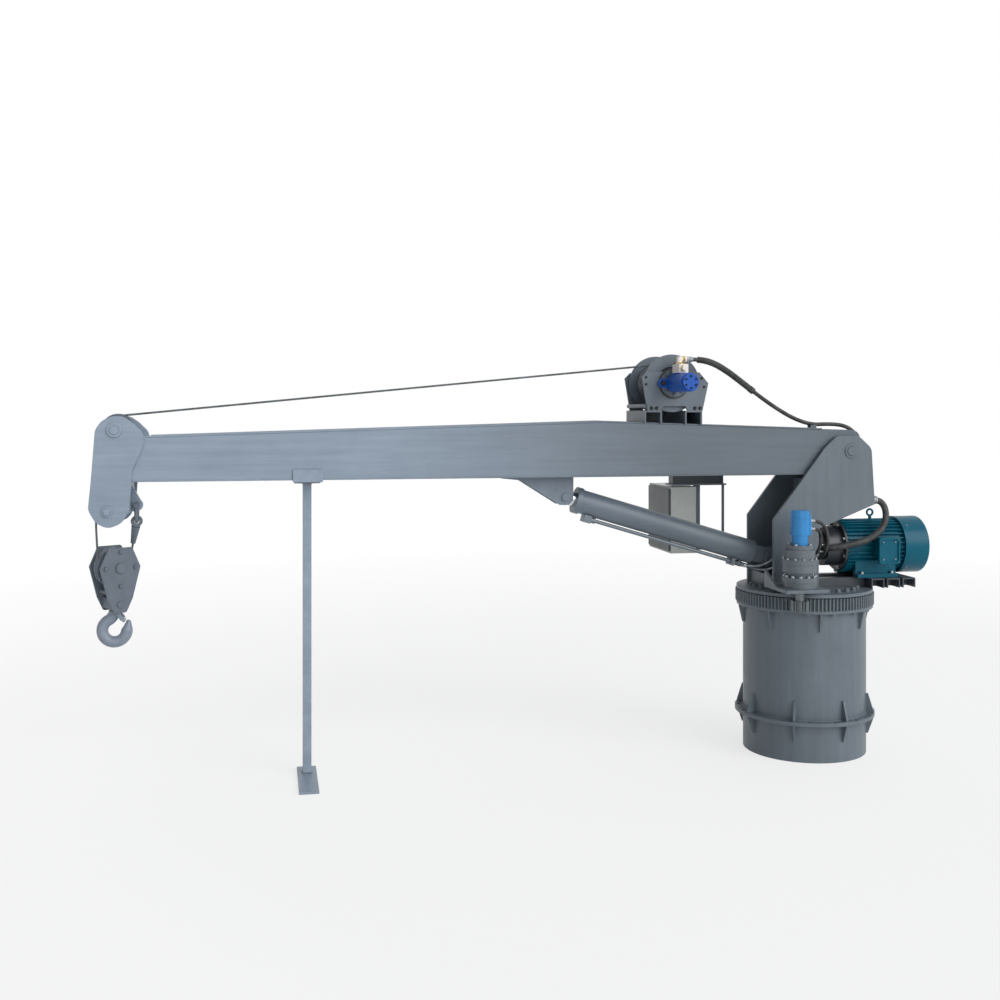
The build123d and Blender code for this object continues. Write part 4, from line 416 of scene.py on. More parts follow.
def finish(name):
    """One of the crane's finishes, made when it is first asked for."""
    known = bpy.data.materials.get(name)
    if known:
        return known
    paints = bpy.context.scene.crane_paints
    # The boom's grey darkens between these two places on its way to the heel, as painted shade.
    heel_painted_shade = (paints.heel, -2150, -750)
    makers = {
        # Brushed alkyd enamel: satin, with long faint strokes along the boom, and painted shade darkening it
        # towards the heel
        "brushed_boom_enamel": lambda n: enamel(n, paints.boom, (620, 26, 26), 240, 0.42, 0.25, 4.0, heel_painted_shade),
        # The same enamel on the column, with strokes and runs straight down, darker as painted shade
        "brushed_column_enamel": lambda n: enamel(n, paints.column, (34, 34, 420), 210, 0.45, 0.25),
        # The same enamel on small plates, dabbed with no direction, with the same painted shade towards the
        # heel
        "dabbed_plate_enamel": lambda n: enamel(n, paints.boom, (45, 45, 45), 130, 0.42, 0.3, 3.0, heel_painted_shade),
        # Enamel on the slewing ring, dull with grease and dust
        "ring_enamel": lambda n: enamel(n, linear("#626c72"), (20, 20, 60), 90, 0.5, 0.3, 2.0),
        # Dark satin enamel of the motor's channels, and the same on the pump's and valve's rough castings
        "dark_frame_enamel": lambda n: enamel(n, linear("#43494f"), (40, 40, 40), 120, 0.45, 0.3, 3.0),
        "dark_cast_enamel": lambda n: enamel(n, linear("#363b40"), (7, 7, 7), 70, 0.4, 0.5, 2.5),
        # Darker enamel of the hook block, rubbed by slings
        "hook_block_enamel": lambda n: enamel(n, paints.block, (30, 30, 60), 90, 0.5, 0.35, 3.0),
        # Forged steel under thin enamel: scale pits show through
        "forged_hook_enamel": lambda n: enamel(n, linear("#818b99"), (14, 14, 14), 60, 0.38, 0.5, 2.0),
        # Enamel sprayed on a rough iron casting: satin over a sandy skin
        "cast_gearbox_enamel": lambda n: enamel(n, linear("#646d73"), (7, 7, 7), 70, 0.42, 0.5, 2.5),
        # Gloss blue enamels on the oil motors' castings
        "gloss_blue_enamel": lambda n: enamel(n, paints.drive_blue, (9, 9, 9), 80, 0.27, 0.25, 2.0),
        "gloss_deep_blue_enamel": lambda n: enamel(
            n, paints.winch_blue, (9, 9, 9), 80, 0.27, 0.25, 2.0, shine=0.25
        ),
        # Gloss teal enamel on the electric motor's ribbed casting
        "gloss_teal_enamel": lambda n: enamel(n, paints.motor_teal, (9, 9, 9), 90, 0.3, 0.3, 1.5, shine=0.2),
        # Powder coat with its fine orange peel, drawn 4 mm wide so that it shows; the door side is painted
        # darker as painted shade
        "cabinet_powder_coat": lambda n: enamel(
            n, paints.door, (4, 4, 4), 160, 0.48, 0.15, 3.0, (paints.cabinet, door_x - 0.2, door_x + 0.2)
        ),
        # Phosphated gear steel, bright where the teeth rub and dark with grease between them
        "greased_gear_steel": lambda n: metal(n, linear("#6e7577"), 0.3, 0.52, 18, 0.3, 0.8),
        # Zinc-plated fasteners and hose ends, grey and slightly cloudy
        "zinc_plated_steel": lambda n: metal(n, linear("#a3a9ad"), 0.32, 0.5, 9, 0.15),
        # The cylinder's pipes: old zinc gone dull and grey
        "dull_zinc_pipe": lambda n: metal(n, linear("#717980"), 0.38, 0.58, 14, 0.12, 0.85),
        # Oil-blackened screws: near black with a faint shine
        "blackened_steel": lambda n: metal(n, linear("#2b2d2f"), 0.35, 0.5, 6, 0.15, 0.7),
        # Ground steel of the rotor: an even grey with a soft shine
        "ground_steel": lambda n: metal(n, linear("#8f9396"), 0.25, 0.4, 14, 0.1),
        # Hard chrome: mirror bright with an oil film
        "hard_chrome": lambda n: metal(n, linear("#d4d8db"), 0.08, 0.18, 40, 0.04),
        # Leaded bronze of the bushes: brownish yellow, softly bright
        "bearing_bronze": lambda n: metal(n, linear("#9c7a45"), 0.3, 0.5, 16, 0.15),
        # Turned brass of the oil fittings: pale yellow and bright
        "turned_brass": lambda n: metal(n, linear("#c2a163"), 0.25, 0.4, 12, 0.1),
        # Cast aluminium: pale, dull, with a sandy skin
        "sand_cast_aluminium": lambda n: metal(n, linear("#efe9e1"), 0.5, 0.65, 5, 0.4, 0.1),
        "galvanised_wire_rope": lambda n: wire_rope(),
        # Nitrile hose cover: matt black with the print of its curing cloth, drawn 17 mm apart to show
        "nitrile_hose_cover": lambda n: hose_cover(n, "#232425", "#4c4d4d", 38, 0.0, 0.55),
        # Stainless braid over a hose: fine bright wires, drawn 5 mm apart so that they show
        "stainless_hose_braid": lambda n: hose_cover(n, "#5d6368", "#8e959a", 12, 0.75, 0.42),
        "zinc_lever_black_ball": lambda n: lever_finish(),
    }
    return makers[name](name)


node_finishes = {
    "brushed_boom_enamel": ["boom_box", "head_plates", "luff_barrel", "luff_gland"],
    "brushed_column_enamel": [
        "pedestal",
        "turntable_plate",
        "tower_cheeks",
        "tower_webs",
        "tower_pins",
        "slew_drive_bracket",
        "oil_tank",
        "control_stand",
        "slew_ring_bolts",
    ],
    "dabbed_plate_enamel": [
        "boom_rest_post",
        "boom_rest_shoe",
        "luff_bracket",
        "winch_base",
        "winch_frame",
        "winch_drum",
        "head_pins",
    ],
    "ring_enamel": ["slew_ring_gear"],
    "dark_frame_enamel": ["power_frame"],
    "dark_cast_enamel": ["bell_housing", "hydraulic_pump", "control_valve"],
    "hook_block_enamel": [
        "block_cheeks",
        "block_pins",
        "block_sheave",
        "shackle",
        "rope_socket",
        "head_sheave",
        "guide_sheave",
    ],
    "forged_hook_enamel": ["hook", "hook_latch"],
    "cast_gearbox_enamel": ["slew_gearbox"],
    "gloss_blue_enamel": ["slew_motor"],
    "gloss_deep_blue_enamel": ["winch_motor"],
    "gloss_teal_enamel": ["motor_frame", "motor_fan_cover", "terminal_box"],
    "cabinet_powder_coat": ["control_cabinet"],
    "greased_gear_steel": ["slew_pinion", "slew_balls", "slew_inner_ring"],
    "zinc_plated_steel": ["gearbox_bolts"],
    "dull_zinc_pipe": ["luff_pipes"],
    "ground_steel": ["motor_rotor"],
    "hard_chrome": ["luff_rod"],
    "bearing_bronze": ["heel_bushes"],
    "sand_cast_aluminium": ["winch_valve_block"],
    "galvanised_wire_rope": ["hoist_rope_lead", "rope_winding", "rope_falls"],
    "nitrile_hose_cover": ["winch_hose", "suction_hose", "slew_hoses"],
    "stainless_hose_braid": ["luff_hoses"],
    "zinc_lever_black_ball": ["hoist_lever", "luff_lever", "slew_lever"],
}


# Mesh making


def new_piece(name, bm, finish_name, body=None, sharp=35):
    """Closes a mesh into a piece, with its finish, and rides it on a body."""
    bmesh.ops.recalc_face_normals(bm, faces=bm.faces)
    mesh = bpy.data.meshes.new(name)
    bm.to_mesh(mesh)
    bm.free()
    mesh.materials.append(finish(finish_name))
    mesh.shade_smooth()
    mesh.set_sharp_from_angle(angle=math.radians(sharp))
    piece = bpy.data.objects.new(name, mesh)
    bpy.context.scene.collection.objects.link(piece)
    if body:
        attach(piece, body)
    return piece


def lathe(bm, place, axis, profile, segments=24, hollow=False):
    """Turns an outline of (radius, height) pairs, in millimetres, about an axis."""
    stand = Vector(axis).normalized().to_track_quat("Z", "Y").to_matrix()
    rings = []
    for radius, height in profile:
        outline = [stand @ at(x, y, height) for x, y in circle(radius, segments)]
        rings.append([bm.verts.new(place + offset) for offset in outline])
    skin(bm, rings, hollow)


def slab(bm, place, axis, up, corner, layers, steps=6):
    """A plate with round corners: each layer is its half width, half height and level, in millimetres."""
    axis = Vector(axis)
    up = Vector(up)
    across = up.cross(axis)
    rings = []
    for half_w, half_h, level in layers:
        ring = []
        for quarter, (right, top) in enumerate(((1, 1), (-1, 1), (-1, -1), (1, -1))):
            for step in range(steps + 1):
                angle = math.pi / 2 * (quarter + step / steps)
                side = right * (half_w - corner) + corner * math.cos(angle)
                rise = top * (half_h - corner) + corner * math.sin(angle)
                ring.append(bm.verts.new(place + (across * side + up * rise + axis * level) / 1000))
        rings.append(ring)
    skin(bm, rings, False)


def skin(bm, rings, hollow):
    """Faces between rings of points, closed by two caps, or joined end to end where hollow."""
    pairs = list(zip(rings, rings[1:]))
    if hollow:
        pairs.append((rings[-1], rings[0]))
    else:
        bm.faces.new(list(reversed(rings[0])))
        bm.faces.new(rings[-1])
    for low, high in pairs:
        for index in range(len(low)):
            after = (index + 1) % len(low)
            bm.faces.new((low[index], low[after], high[after], high[index]))


def sweep(bm, points, ring_at, closed=False):
    """Skins rings along a line; ring_at gives a ring's (side, up) offsets at a distance."""
    route = bm.loops.layers.uv.verify()
    count = len(points)
    rings = []
    distances = []
    side = None
    distance = 0.0
    for index, point in enumerate(points):
        before = points[index - 1] if index or closed else point
        after = points[(index + 1) % count] if index + 1 < count or closed else point
        along = (after - before).normalized()
        if side is None:
            side = along.orthogonal()
        else:
            distance += (point - points[index - 1]).length
        side = (side - along * side.dot(along)).normalized()
        up = along.cross(side)
        rings.append([bm.verts.new(point + side * a + up * b) for a, b in ring_at(distance)])
        distances.append(distance)
    steps = list(range(count - 1)) + ([count - 1] if closed else [])
    sides = len(rings[0])
    for step in steps:
        low = rings[step]
        high = rings[(step + 1) % count]
        reach = (distances[step], distances[step + 1] if step + 1 < count else distance)
        for index in range(sides):
            after = (index + 1) % sides
            face = bm.faces.new((low[index], low[after], high[after], high[index]))
            corners = ((index, reach[0]), (index + 1, reach[0]), (index + 1, reach[1]), (index, reach[1]))
            for loop, (around, run) in zip(face.loops, corners):
                loop[route].uv = (around / sides * pattern_round, run)
    if not closed:
        bm.faces.new(list(reversed(rings[0])))
        bm.faces.new(rings[-1])


def spline_points(name, controls, resolution=16):
    """Points read from the smooth line over given control points."""
    curve = bpy.data.curves.new(name, "CURVE")
    curve.dimensions = "3D"
    spline = curve.splines.new("NURBS")
    spline.points.add(len(controls) - 1)
    for point, place in zip(spline.points, controls):
        point.co = (*place, 1.0)
    spline.order_u = 3
    spline.use_endpoint_u = True
    spline.resolution_u = resolution
    holder = bpy.data.objects.new(name, curve)
    mesh = bpy.data.meshes.new_from_object(holder)
    points = [vertex.co.copy() for vertex in mesh.vertices]
    bpy.data.objects.remove(holder)
    bpy.data.curves.remove(curve)
    bpy.data.meshes.remove(mesh)
    return points


def run_length(points):
    """Length of a line of points."""
    return sum((after - before).length for before, after in zip(points, points[1:]))


def even_points(points, step):
    """Evenly spaced points along a line read from a spline, so that strands keep one lay."""
    spaced = [points[0]]
    need = step
    for before, after in zip(points, points[1:]):
        run = (after - before).length
        done = 0.0
        while run - done >= need:
            done += need
            spaced.append(before.lerp(after, done / run))
            need = step
        need -= run - done
    if (spaced[-1] - points[-1]).length > step / 4:
        spaced.append(points[-1])
    return spaced


def round_ring(radius, sides=18):
    """A plain round ring for a hose."""
    ring = circle(radius, sides)
    return lambda distance: ring


def strand_ring(radius, lay, strands, per_strand=4):
    """A ring of round strands that turns with the distance along the rope."""
    strand_r = radius / 3
    centre_r = radius - strand_r
    outline = []
    count = strands * per_strand
    for index in range(count):
        local = ((index % per_strand) / per_strand - 0.5) * 2 * math.pi / strands
        inside = max(strand_r**2 - (centre_r * math.sin(local)) ** 2, 0.0)
        outline.append((2 * math.pi * index / count, centre_r * math.cos(local) + math.sqrt(inside)))

    def ring_at(distance):
        turn = 2 * math.pi * distance / lay
        return [(reach * math.cos(angle + turn), reach * math.sin(angle + turn)) for angle, reach in outline]

    return ring_at


def bead_ring(radius, ripple, sides=7, swell=0.14):
    """A ring that swells and shrinks along a weld bead or a hose guard, by a share of its radius."""

    def ring_at(distance):
        return circle(radius * (1 + swell * math.sin(2 * math.pi * distance / ripple)), sides)

    return ring_at


def hex_bolt(bm, place, axis, across):
    """A hexagon head with a chamfered top, on a washer; across flats in millimetres."""
    axis = Vector(axis).normalized()
    lathe(bm, place - axis * 0.0005, axis, [(across * 0.7, 0), (across * 0.7, across * 0.1 + 0.5)], 20)
    corner = across / math.sqrt(3)
    head = place + axis * across * 0.0001
    lathe(bm, head, axis, [(corner, 0), (corner, across * 0.5), (corner * 0.86, across * 0.58)], 6)


def cap_screw(bm, place, axis, radius):
    """A socket head screw with its recess; radius in millimetres."""
    shares = ((1.0, 1.1), (0.92, 1.25), (0.55, 1.25), (0.5, 0.5))
    profile = [(radius, -0.5)] + [(radius * out, radius * rise) for out, rise in shares]
    lathe(bm, place, axis, profile, 18)


def circle_points(radius, z, count):
    """Places round the slewing axis, in millimetres."""
    return [at(x, y, z) for x, y in circle(radius, count)]


# The hoist rope


class CRANE_OT_hoist_rope(bpy.types.Operator):
    """Lays the stranded rope from the drum over the head to the hook block"""

    bl_idname = "crane.hoist_rope"
    bl_label = "Hoist rope"

    lead_route = (
        (-0.75942, 0.0, 1.94417),
        (-2.06322, 0.0, 1.81694),
        (-3.30731, 0.0, 1.69553),
        (-3.35248, 0.0, 1.69113),
        (-3.38157, 0.0, 1.68829),
        (-3.40632, 0.0, 1.67276),
        (-3.42154, 0.0, 1.64781),
        (-3.42401, 0.0, 1.61869),
        (-3.42786, 0.0, 1.57346),
        (-3.45378, 0.0, 1.26825),
    )
    upper_route = (
        (-3.45378, 0.0, 1.26825),
        (-3.45690, 0.0, 1.23150),
        (-3.45970, 0.0, 1.19850),
        (-3.45299, -0.0200, 1.12925),
    )
    left_route = (
        (-3.45299, -0.0200, 1.12925),
        (-3.44628, -0.0400, 1.06000),
        (-3.44628, -0.0400, 1.02144),
        (-3.44628, -0.0400, 0.97856),
        (-3.42772, -0.0293, 0.94144),
        (-3.39557, -0.0107, 0.92000),
        (-3.37700, 0.0, 0.92000),
    )
    right_route = (
        (-3.37700, 0.0, 0.92000),
        (-3.35843, 0.0107, 0.92000),
        (-3.32628, 0.0293, 0.94144),
        (-3.30772, 0.0400, 0.97856),
        (-3.30772, 0.0400, 1.02144),
        (-3.30772, 0.0400, 1.06000),
        (-3.29930, 0.0279, 1.10450),
    )

    def execute(self, context):
        sizes = context.scene.rope_sizes
        ring_at = strand_ring(sizes.diameter / 2, sizes.lay, sizes.strands)
        made = {}
        for name in ("lead", "upper", "left", "right"):
            points = even_points(spline_points(name, getattr(self, name + "_route"), 64), sizes.lay / 16)
            bm = bmesh.new()
            sweep(bm, points, ring_at)
            made[name] = new_piece("hoist_rope_" + name, bm, "galvanised_wire_rope", None, 80)
        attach(made["lead"], "boom")
        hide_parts("hoist_rope_lead")
        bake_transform(made["upper"])
        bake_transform(made["left"])
        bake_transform(made["right"])
        for name in ("upper", "left", "right"):
            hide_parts("rope_falls")
        return {"FINISHED"}


class CRANE_OT_rope_winding(bpy.types.Operator):
    """Winds the stored rope on the drum"""

    bl_idname = "crane.rope_winding"
    bl_label = "Rope winding"

    turns: bpy.props.IntProperty(name="Turns", description="Turns left on the drum", default=10)
    per_turn: bpy.props.IntProperty(name="Points", description="Control points in a turn", default=24)
    radius: bpy.props.FloatProperty(
        name="Rope radius", description="Drum axis to rope centre", default=0.097, unit="LENGTH"
    )
    pitch: bpy.props.FloatProperty(
        name="Pitch", description="Side step of one turn", default=0.0106, unit="LENGTH", precision=4
    )

    def execute(self, context):
        sizes = context.scene.rope_sizes
        centre = at(drum_x, 0, drum_z)
        # The rope leaves the drum where it points up, square to the lead, and runs ahead.
        up = Vector((-0.09712, 0.0, 0.99527))
        ahead = Vector((-0.99527, 0.0, -0.09712))
        step = 2 * math.pi / self.per_turn
        # The smooth line runs inside its control points, so these stand a little further out.
        reach = self.radius / (0.75 + 0.25 * math.cos(step))
        controls = []
        for index in range(self.turns * self.per_turn + 2):
            angle = step * index
            slide = Vector((0.0, self.pitch * index / self.per_turn, 0.0))
            controls.append(centre + (up * math.cos(angle) - ahead * math.sin(angle)) * reach + slide)
        points = even_points(spline_points("winding", controls, 8), sizes.lay / 12)
        bm = bmesh.new()
        sweep(bm, points, strand_ring(sizes.diameter / 2, sizes.lay, sizes.strands))
        piece = new_piece("rope_turns", bm, "galvanised_wire_rope", "drum", 80)
        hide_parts("rope_winding")
        return {"FINISHED"}


# Hoses and their ends

winch_route = (
    (-0.714, -0.232, 1.96063),
    (-0.644, -0.232, 1.96063),
    (-0.564, -0.204, 1.94463),
    (-0.474, -0.168, 1.90263),
    (-0.384, -0.138, 1.84663),
    (-0.284, -0.114, 1.78063),
    (-0.184, -0.094, 1.72063),
    (-0.084, -0.076, 1.67063),
    (0.016, -0.060, 1.64267),
    (0.104, -0.060, 1.64667),
    (0.186, -0.060, 1.64067),
    (0.244, -0.060, 1.61067),
    (0.272, -0.060, 1.55467),
    (0.274, -0.060, 1.48867),
    (0.264, -0.060, 1.42667),
    (0.264, -0.060, 1.36500),
)
suction_route = (
    (0.044, -0.078, 1.022),
    (0.044, -0.118, 1.022),
    (0.078, -0.160, 1.028),
    (0.148, -0.178, 1.042),
    (0.222, -0.180, 1.056),
    (0.284, -0.176, 1.076),
    (0.334, -0.166, 1.108),
    (0.368, -0.152, 1.148),
    (0.384, -0.134, 1.192),
    (0.378, -0.123, 1.235),
    (0.350, -0.115, 1.262),
    (0.304, -0.115, 1.262),
)
slew_route_high = (
    (-0.12505, -0.3311, 1.182),
    (-0.07905, -0.3311, 1.182),
    (-0.04105, -0.3331, 1.150),
    (-0.02905, -0.3311, 1.098),
    (-0.02705, -0.3131, 1.046),
    (-0.02905, -0.2751, 1.004),
    (-0.03105, -0.2211, 0.984),
    (-0.03105, -0.1700, 0.984),
)
slew_route_low = (
    (-0.12505, -0.3311, 1.144),
    (-0.08705, -0.3311, 1.144),
    (-0.06105, -0.3231, 1.118),
    (-0.05505, -0.3091, 1.076),
    (-0.05705, -0.2871, 1.036),
    (-0.05905, -0.2511, 1.008),
    (-0.06105, -0.2111, 1.000),
    (-0.06105, -0.1700, 1.000),
)
luff_route_near = (
    (-0.34976, -0.016, 0.94103),
    (-0.31146, -0.016, 0.92950),
    (-0.262, -0.042, 0.930),
    (-0.222, -0.080, 0.956),
    (-0.180, -0.106, 0.990),
    (-0.140, -0.114, 1.010),
    (-0.100, -0.114, 1.010),
)
luff_route_far = (
    (-0.34976, 0.016, 0.94103),
    (-0.31146, 0.016, 0.92950),
    (-0.262, -0.014, 0.912),
    (-0.222, -0.064, 0.914),
    (-0.180, -0.096, 0.942),
    (-0.140, -0.108, 0.970),
    (-0.100, -0.108, 0.970),
)
# Each hose: its name, route, size, the part that it stands for, the bodies of its first and last end, and
# the points of its route between which it would bend when its ends move apart; only whether these are
# given is read, and a hose that has them rides on no body
hose_runs = (
    ("winch_supply_hose", winch_route, "winch", "winch_hose", ("boom", "tower"), (9, 14)),
    ("pump_suction_hose", suction_route, "suction", "suction_hose", ("tower", "tower"), None),
    ("slew_hose_high", slew_route_high, "slew", "slew_hoses", ("tower", "tower"), None),
    ("slew_hose_low", slew_route_low, "slew", "slew_hoses", ("tower", "tower"), None),
    ("luff_hose_near", luff_route_near, "luff", "luff_hoses", ("barrel", "tower"), (1, 5)),
    ("luff_hose_far", luff_route_far, "luff", "luff_hoses", ("barrel", "tower"), (1, 5)),
)


class CRANE_OT_hoses(bpy.types.Operator):
    """Lays the hoses between the tank, pump, motors and luff cylinder"""

    bl_idname = "crane.hoses"
    bl_label = "Hoses"

    def execute(self, context):
        sizes = context.scene.hose_sizes
        for name, route, size, node, bodies, span in hose_runs:
            diameter = getattr(sizes, size)
            points = spline_points(name, route)
            bm = bmesh.new()
            sweep(bm, points, round_ring(diameter / 2))
            cover = "stainless_hose_braid" if node == "luff_hoses" else "nitrile_hose_cover"
            piece = new_piece(name, bm, cover, None, 60)
            guards = [self.add_guard(points, sizes)] if node == "winch_hose" else []
            if span:
                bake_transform(piece)
            else:
                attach(piece, bodies[0])
            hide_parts(node)
        return {"FINISHED"}

    def add_guard(self, points, sizes):
        """A spiral guard round the winch end of the winch hose, with a collar at its lower end."""
        length = run_length(points)
        covered = []
        run = 0.0
        for before, after in zip(points, points[1:]):
            run += (after - before).length
            if length * sizes.guard_start < run < length * sizes.guard_end:
                covered.append(after)
        turn = 0.012
        bm = bmesh.new()
        sweep(bm, even_points(covered, turn / 4), bead_ring(sizes.winch * 0.72, turn, 16))
        end, towards = covered[-1], covered[-1] - covered[-2]
        lathe(bm, end, towards, [(13.5, -16), (16.5, -14), (16.5, 8), (12, 14), (10.5, 14)], 24)
        return new_piece("winch_hose_guard", bm, "nitrile_hose_cover", "boom", 60)


class CRANE_OT_hose_ends(bpy.types.Operator):
    """Puts a crimped sleeve and a swivel nut on each end of each hose"""

    bl_idname = "crane.hose_ends"
    bl_label = "Hose ends"

    def execute(self, context):
        sizes = context.scene.hose_sizes
        meshes = {body: bmesh.new() for body in ("boom", "barrel", "tower")}
        for _, route, size, _, bodies, _ in hose_runs:
            for body, start, towards in ((bodies[0], *route[:2]), (bodies[1], *route[:-3:-1])):
                axis = Vector(towards) - Vector(start)
                self.add_end(meshes[body], Vector(start), axis, getattr(sizes, size) * 1000)
        for body, bm in meshes.items():
            new_piece("hose_ends_" + body, bm, "zinc_plated_steel", body)
        return {"FINISHED"}

    def add_end(self, bm, place, axis, diameter):
        """A hexagon swivel nut, a neck and a crimped sleeve along the hose."""
        nut = diameter * 0.78
        length = min(diameter * 1.5, 34.0)
        outline = [(nut * 0.9, 0), (nut, 1.2), (nut, length * 0.34), (nut * 0.9, length * 0.4)]
        lathe(bm, place, axis, outline, 6)
        sleeve = [(diameter * 0.56, length * 0.36), (diameter * 0.56, length * 0.46)]
        for share in (0.46, 0.62, 0.78):
            sleeve += [
                (diameter * 0.63, length * (share + 0.02)),
                (diameter * 0.65, length * (share + 0.10)),
                (diameter * 0.60, length * (share + 0.14)),
            ]
        sleeve += [(diameter * 0.63, length), (diameter * 0.53, length + 1.5)]
        lathe(bm, place, axis, sleeve, 24)


# Welds and fasteners


class CRANE_OT_welds(bpy.types.Operator):
    """Runs rippled weld beads along the seams of the pedestal, tower and boom"""

    bl_idname = "crane.welds"
    bl_label = "Weld beads"

    def execute(self, context):
        sizes = context.scene.weld_sizes
        lines = {"base": self.base_lines(), "tower": self.tower_lines(), "boom": self.boom_lines()}
        for body, seams in lines.items():
            bm = bmesh.new()
            for seam in seams:
                points = even_points(seam, sizes.ripple / 4)
                closed = seam[0] == seam[-1]
                if closed:
                    points = points[:-1]
                sweep(bm, points, bead_ring(sizes.radius, sizes.ripple), closed)
            enamel_name = "brushed_boom_enamel" if body == "boom" else "brushed_column_enamel"
            new_piece("weld_beads_" + body, bm, enamel_name, body, 60)
        return {"FINISHED"}

    def base_lines(self):
        """Rings where the flanges meet the tube, the tube's own seam and the post's ends."""
        seams = []
        for z in (184, 204, 727):
            ring = circle_points(tube_radius + 1, z, 180)
            seams.append(ring + ring[:1])
        x, y = circle(tube_radius, 1, 70)[0]
        seams.append((at(x, y, 206), at(x, y, 724)))
        reach, half = 20, 18
        for z in (11, 1373.5):
            for side in (-reach, reach):
                seams.append((at(post_x - half, side, z), at(post_x + half, side, z)))
                seams.append((at(post_x + side, -half, z), at(post_x + side, half, z)))
        return seams

    def tower_lines(self):
        """Feet of the cheeks and webs, and the drive bracket's root."""
        seams = []
        foot = 823
        inside, outside = 151.5, 170.5
        for side in (-1, 1):
            for y in (side * inside, side * outside):
                seams.append((at(-238, y, foot), at(-1, y, foot)))
            for x in (-225.5, -210.5, -100.5, -85.5):
                seams.append((at(x, side * inside, foot + 1), at(x, side * inside, 888)))
        for x in (-100.5, -85.5, -14.5, 0.5):
            seams.append((at(x, -150, foot), at(x, 150, foot)))
        for z in (847.5, 864.5):
            seams.append((at(-286, -outside, z), at(-78, -outside, z)))
        for x in (-276, -88):
            seams.append((at(x, -171, 866), at(x, -171, 930)))
        return seams

    def boom_lines(self):
        """The box's four long seams, the head plates' edges, the bracket, the shoe and the winch feet."""
        seams = []
        head_edge = ((-3237, 1593), (-3233, 1570), (-3264, 1489), (-3284, 1441), (-3288, 1402))
        for side in (-1, 1):
            edge, plate = side * 134, side * 135.5
            seams.append((at(-3285, edge, 1398), at(20, edge, 1398)))
            seams.append((at(-3228, edge, 1596.2), at(-1073, edge, 1660), at(34, edge, 1622)))
            seams.append([at(x, plate, z) for x, z in head_edge])
            for y in (side * 35.5, side * 51.5):
                seams.append((at(-1583, y, 1396.5), at(-1228, y, 1396.5)))
            seams.append((at(-2574, plate, 1442.5), at(-2442, plate, 1442.5)))
        for x, z in ((-897.5, 1654.5), (-808.5, 1650.5), (-691.5, 1646.5), (-602.5, 1642.5)):
            seams.append((at(x, -133, z), at(x, 133, z)))
        return seams


class CRANE_OT_fasteners(bpy.types.Operator):
    """Adds the bolts and screws of the turntable, motors, gearbox, winch and hook block"""

    bl_idname = "crane.fasteners"
    bl_label = "Fasteners"

    def execute(self, context):
        for name, fill, finish_name, slot, body in (
            ("tower_bolts", self.tower_bolts, "zinc_plated_steel", "bare_steel", "tower"),
            ("winch_screws", self.boom_bolts, "blackened_steel", "bare_steel", "boom"),
            ("turntable_bolts", self.table_bolts, "brushed_column_enamel", "grey_paint", "tower"),
            ("winch_bearing_bolts", self.winch_bolts, "dabbed_plate_enamel", "grey_paint", "boom"),
            ("block_plate_bolts", self.block_bolts, "hook_block_enamel", "grey_paint", "block"),
        ):
            bm = bmesh.new()
            fill(bm)
            new_piece(name, bm, finish_name, body)
        return {"FINISHED"}

    def block_bolts(self, bm):
        """Bolts through the hook block's two plates, which stand at an angle to the boom."""
        turn = math.radians(30)
        along = Vector((math.cos(turn), math.sin(turn), 0))
        out = Vector((math.sin(turn), -math.cos(turn), 0))
        for side in (-1, 1):
            for across, rise in ((0, 74), (-70, 2), (70, 2), (0, -80)):
                place = at(block_x, 0, block_z + rise) + (along * across + out * side * 65) / 1000
                hex_bolt(bm, place, out * side, 17)

    def table_bolts(self, bm):
        """Bolts through the turntable into the inner ring, where nothing stands on it."""
        for place in circle_points(265, 822, 28):
            x, y = place.x * 1000, place.y * 1000
            under_cheek = 136 < abs(y) < 186 and -255 < x < 16
            under_frame = x > 4 and abs(y) < 115
            under_web = abs(y) < 160 and -240 < x < 16
            if not (under_cheek or under_frame or under_web):
                hex_bolt(bm, place, (0, 0, 1), 24)

    def tower_bolts(self, bm):
        """Bolts of the motor, bell housing, pump, gearbox and terminal box."""
        for x in (258, 422):
            for y in (-119, 119):
                hex_bolt(bm, at(x, y, 889), (0, 0, 1), 17)
        for y, z in circle(113, 8, 22.5):
            hex_bolt(bm, at(171, y, shaft_z + z), (-1, 0, 0), 13)
        for y, z in ((60, 0), (0, 60), (0, -60)):
            hex_bolt(bm, at(73, y, shaft_z + z), (-1, 0, 0), 11)
        for y, z in circle(145, 4, 45):
            cap_screw(bm, at(512, y, shaft_z + z), (0, y, z), 4.5)
        for x, y in circle(52, 4, 45):
            hex_bolt(bm, at(gearbox_x + x, gearbox_y + y, 1068), (0, 0, 1), 12)
        for x in (337, 403):
            for z in (968, 1054):
                cap_screw(bm, at(x, -190, z), (0, -1, 0), 4)
        for x, y in circle(78.3, 12, 20):
            hex_bolt(bm, at(gearbox_x + x, gearbox_y + y, 1002), (0, 0, 1), 9)

    def winch_bolts(self, bm):
        """Bolts of the two bearing caps of the drum."""
        for degrees in (48, 90, 132, 228, 270, 312):
            for radius, side, across in ((57, -1, 13), (50, 1, 15)):
                x, z = circle(radius, 1, degrees)[0]
                hex_bolt(bm, at(drum_x + x, side * 160, drum_z + z), (0, side, 0), across)

    def boom_bolts(self, bm):
        """Screws of the winch motor, its end cap, its valve block, and the winch's side plates."""
        for x in (-812, -688):
            hex_bolt(bm, at(x, -176, drum_z), (0, -1, 0), 19)
        for x in (-766, -734):
            for y in (-207, -289):
                cap_screw(bm, at(x, y, 1936.63), (0, 0, 1), 4.5)
        for x, z in circle(28, 6, 30):
            cap_screw(bm, at(drum_x + x, -399, drum_z + z), (0, -1, 0), 5)
        for side in (-1, 1):
            for x, z in ((-890, 1876), (-890, 1842), (-606, 1872), (-593, 1830)):
                cap_screw(bm, at(x, side * 150, z), (0, side, 0), 5.5)
            for x in (-862, -836, -640, -614):
                hex_bolt(bm, at(x, side * 150, 1726), (0, side, 0), 13)


# Trim


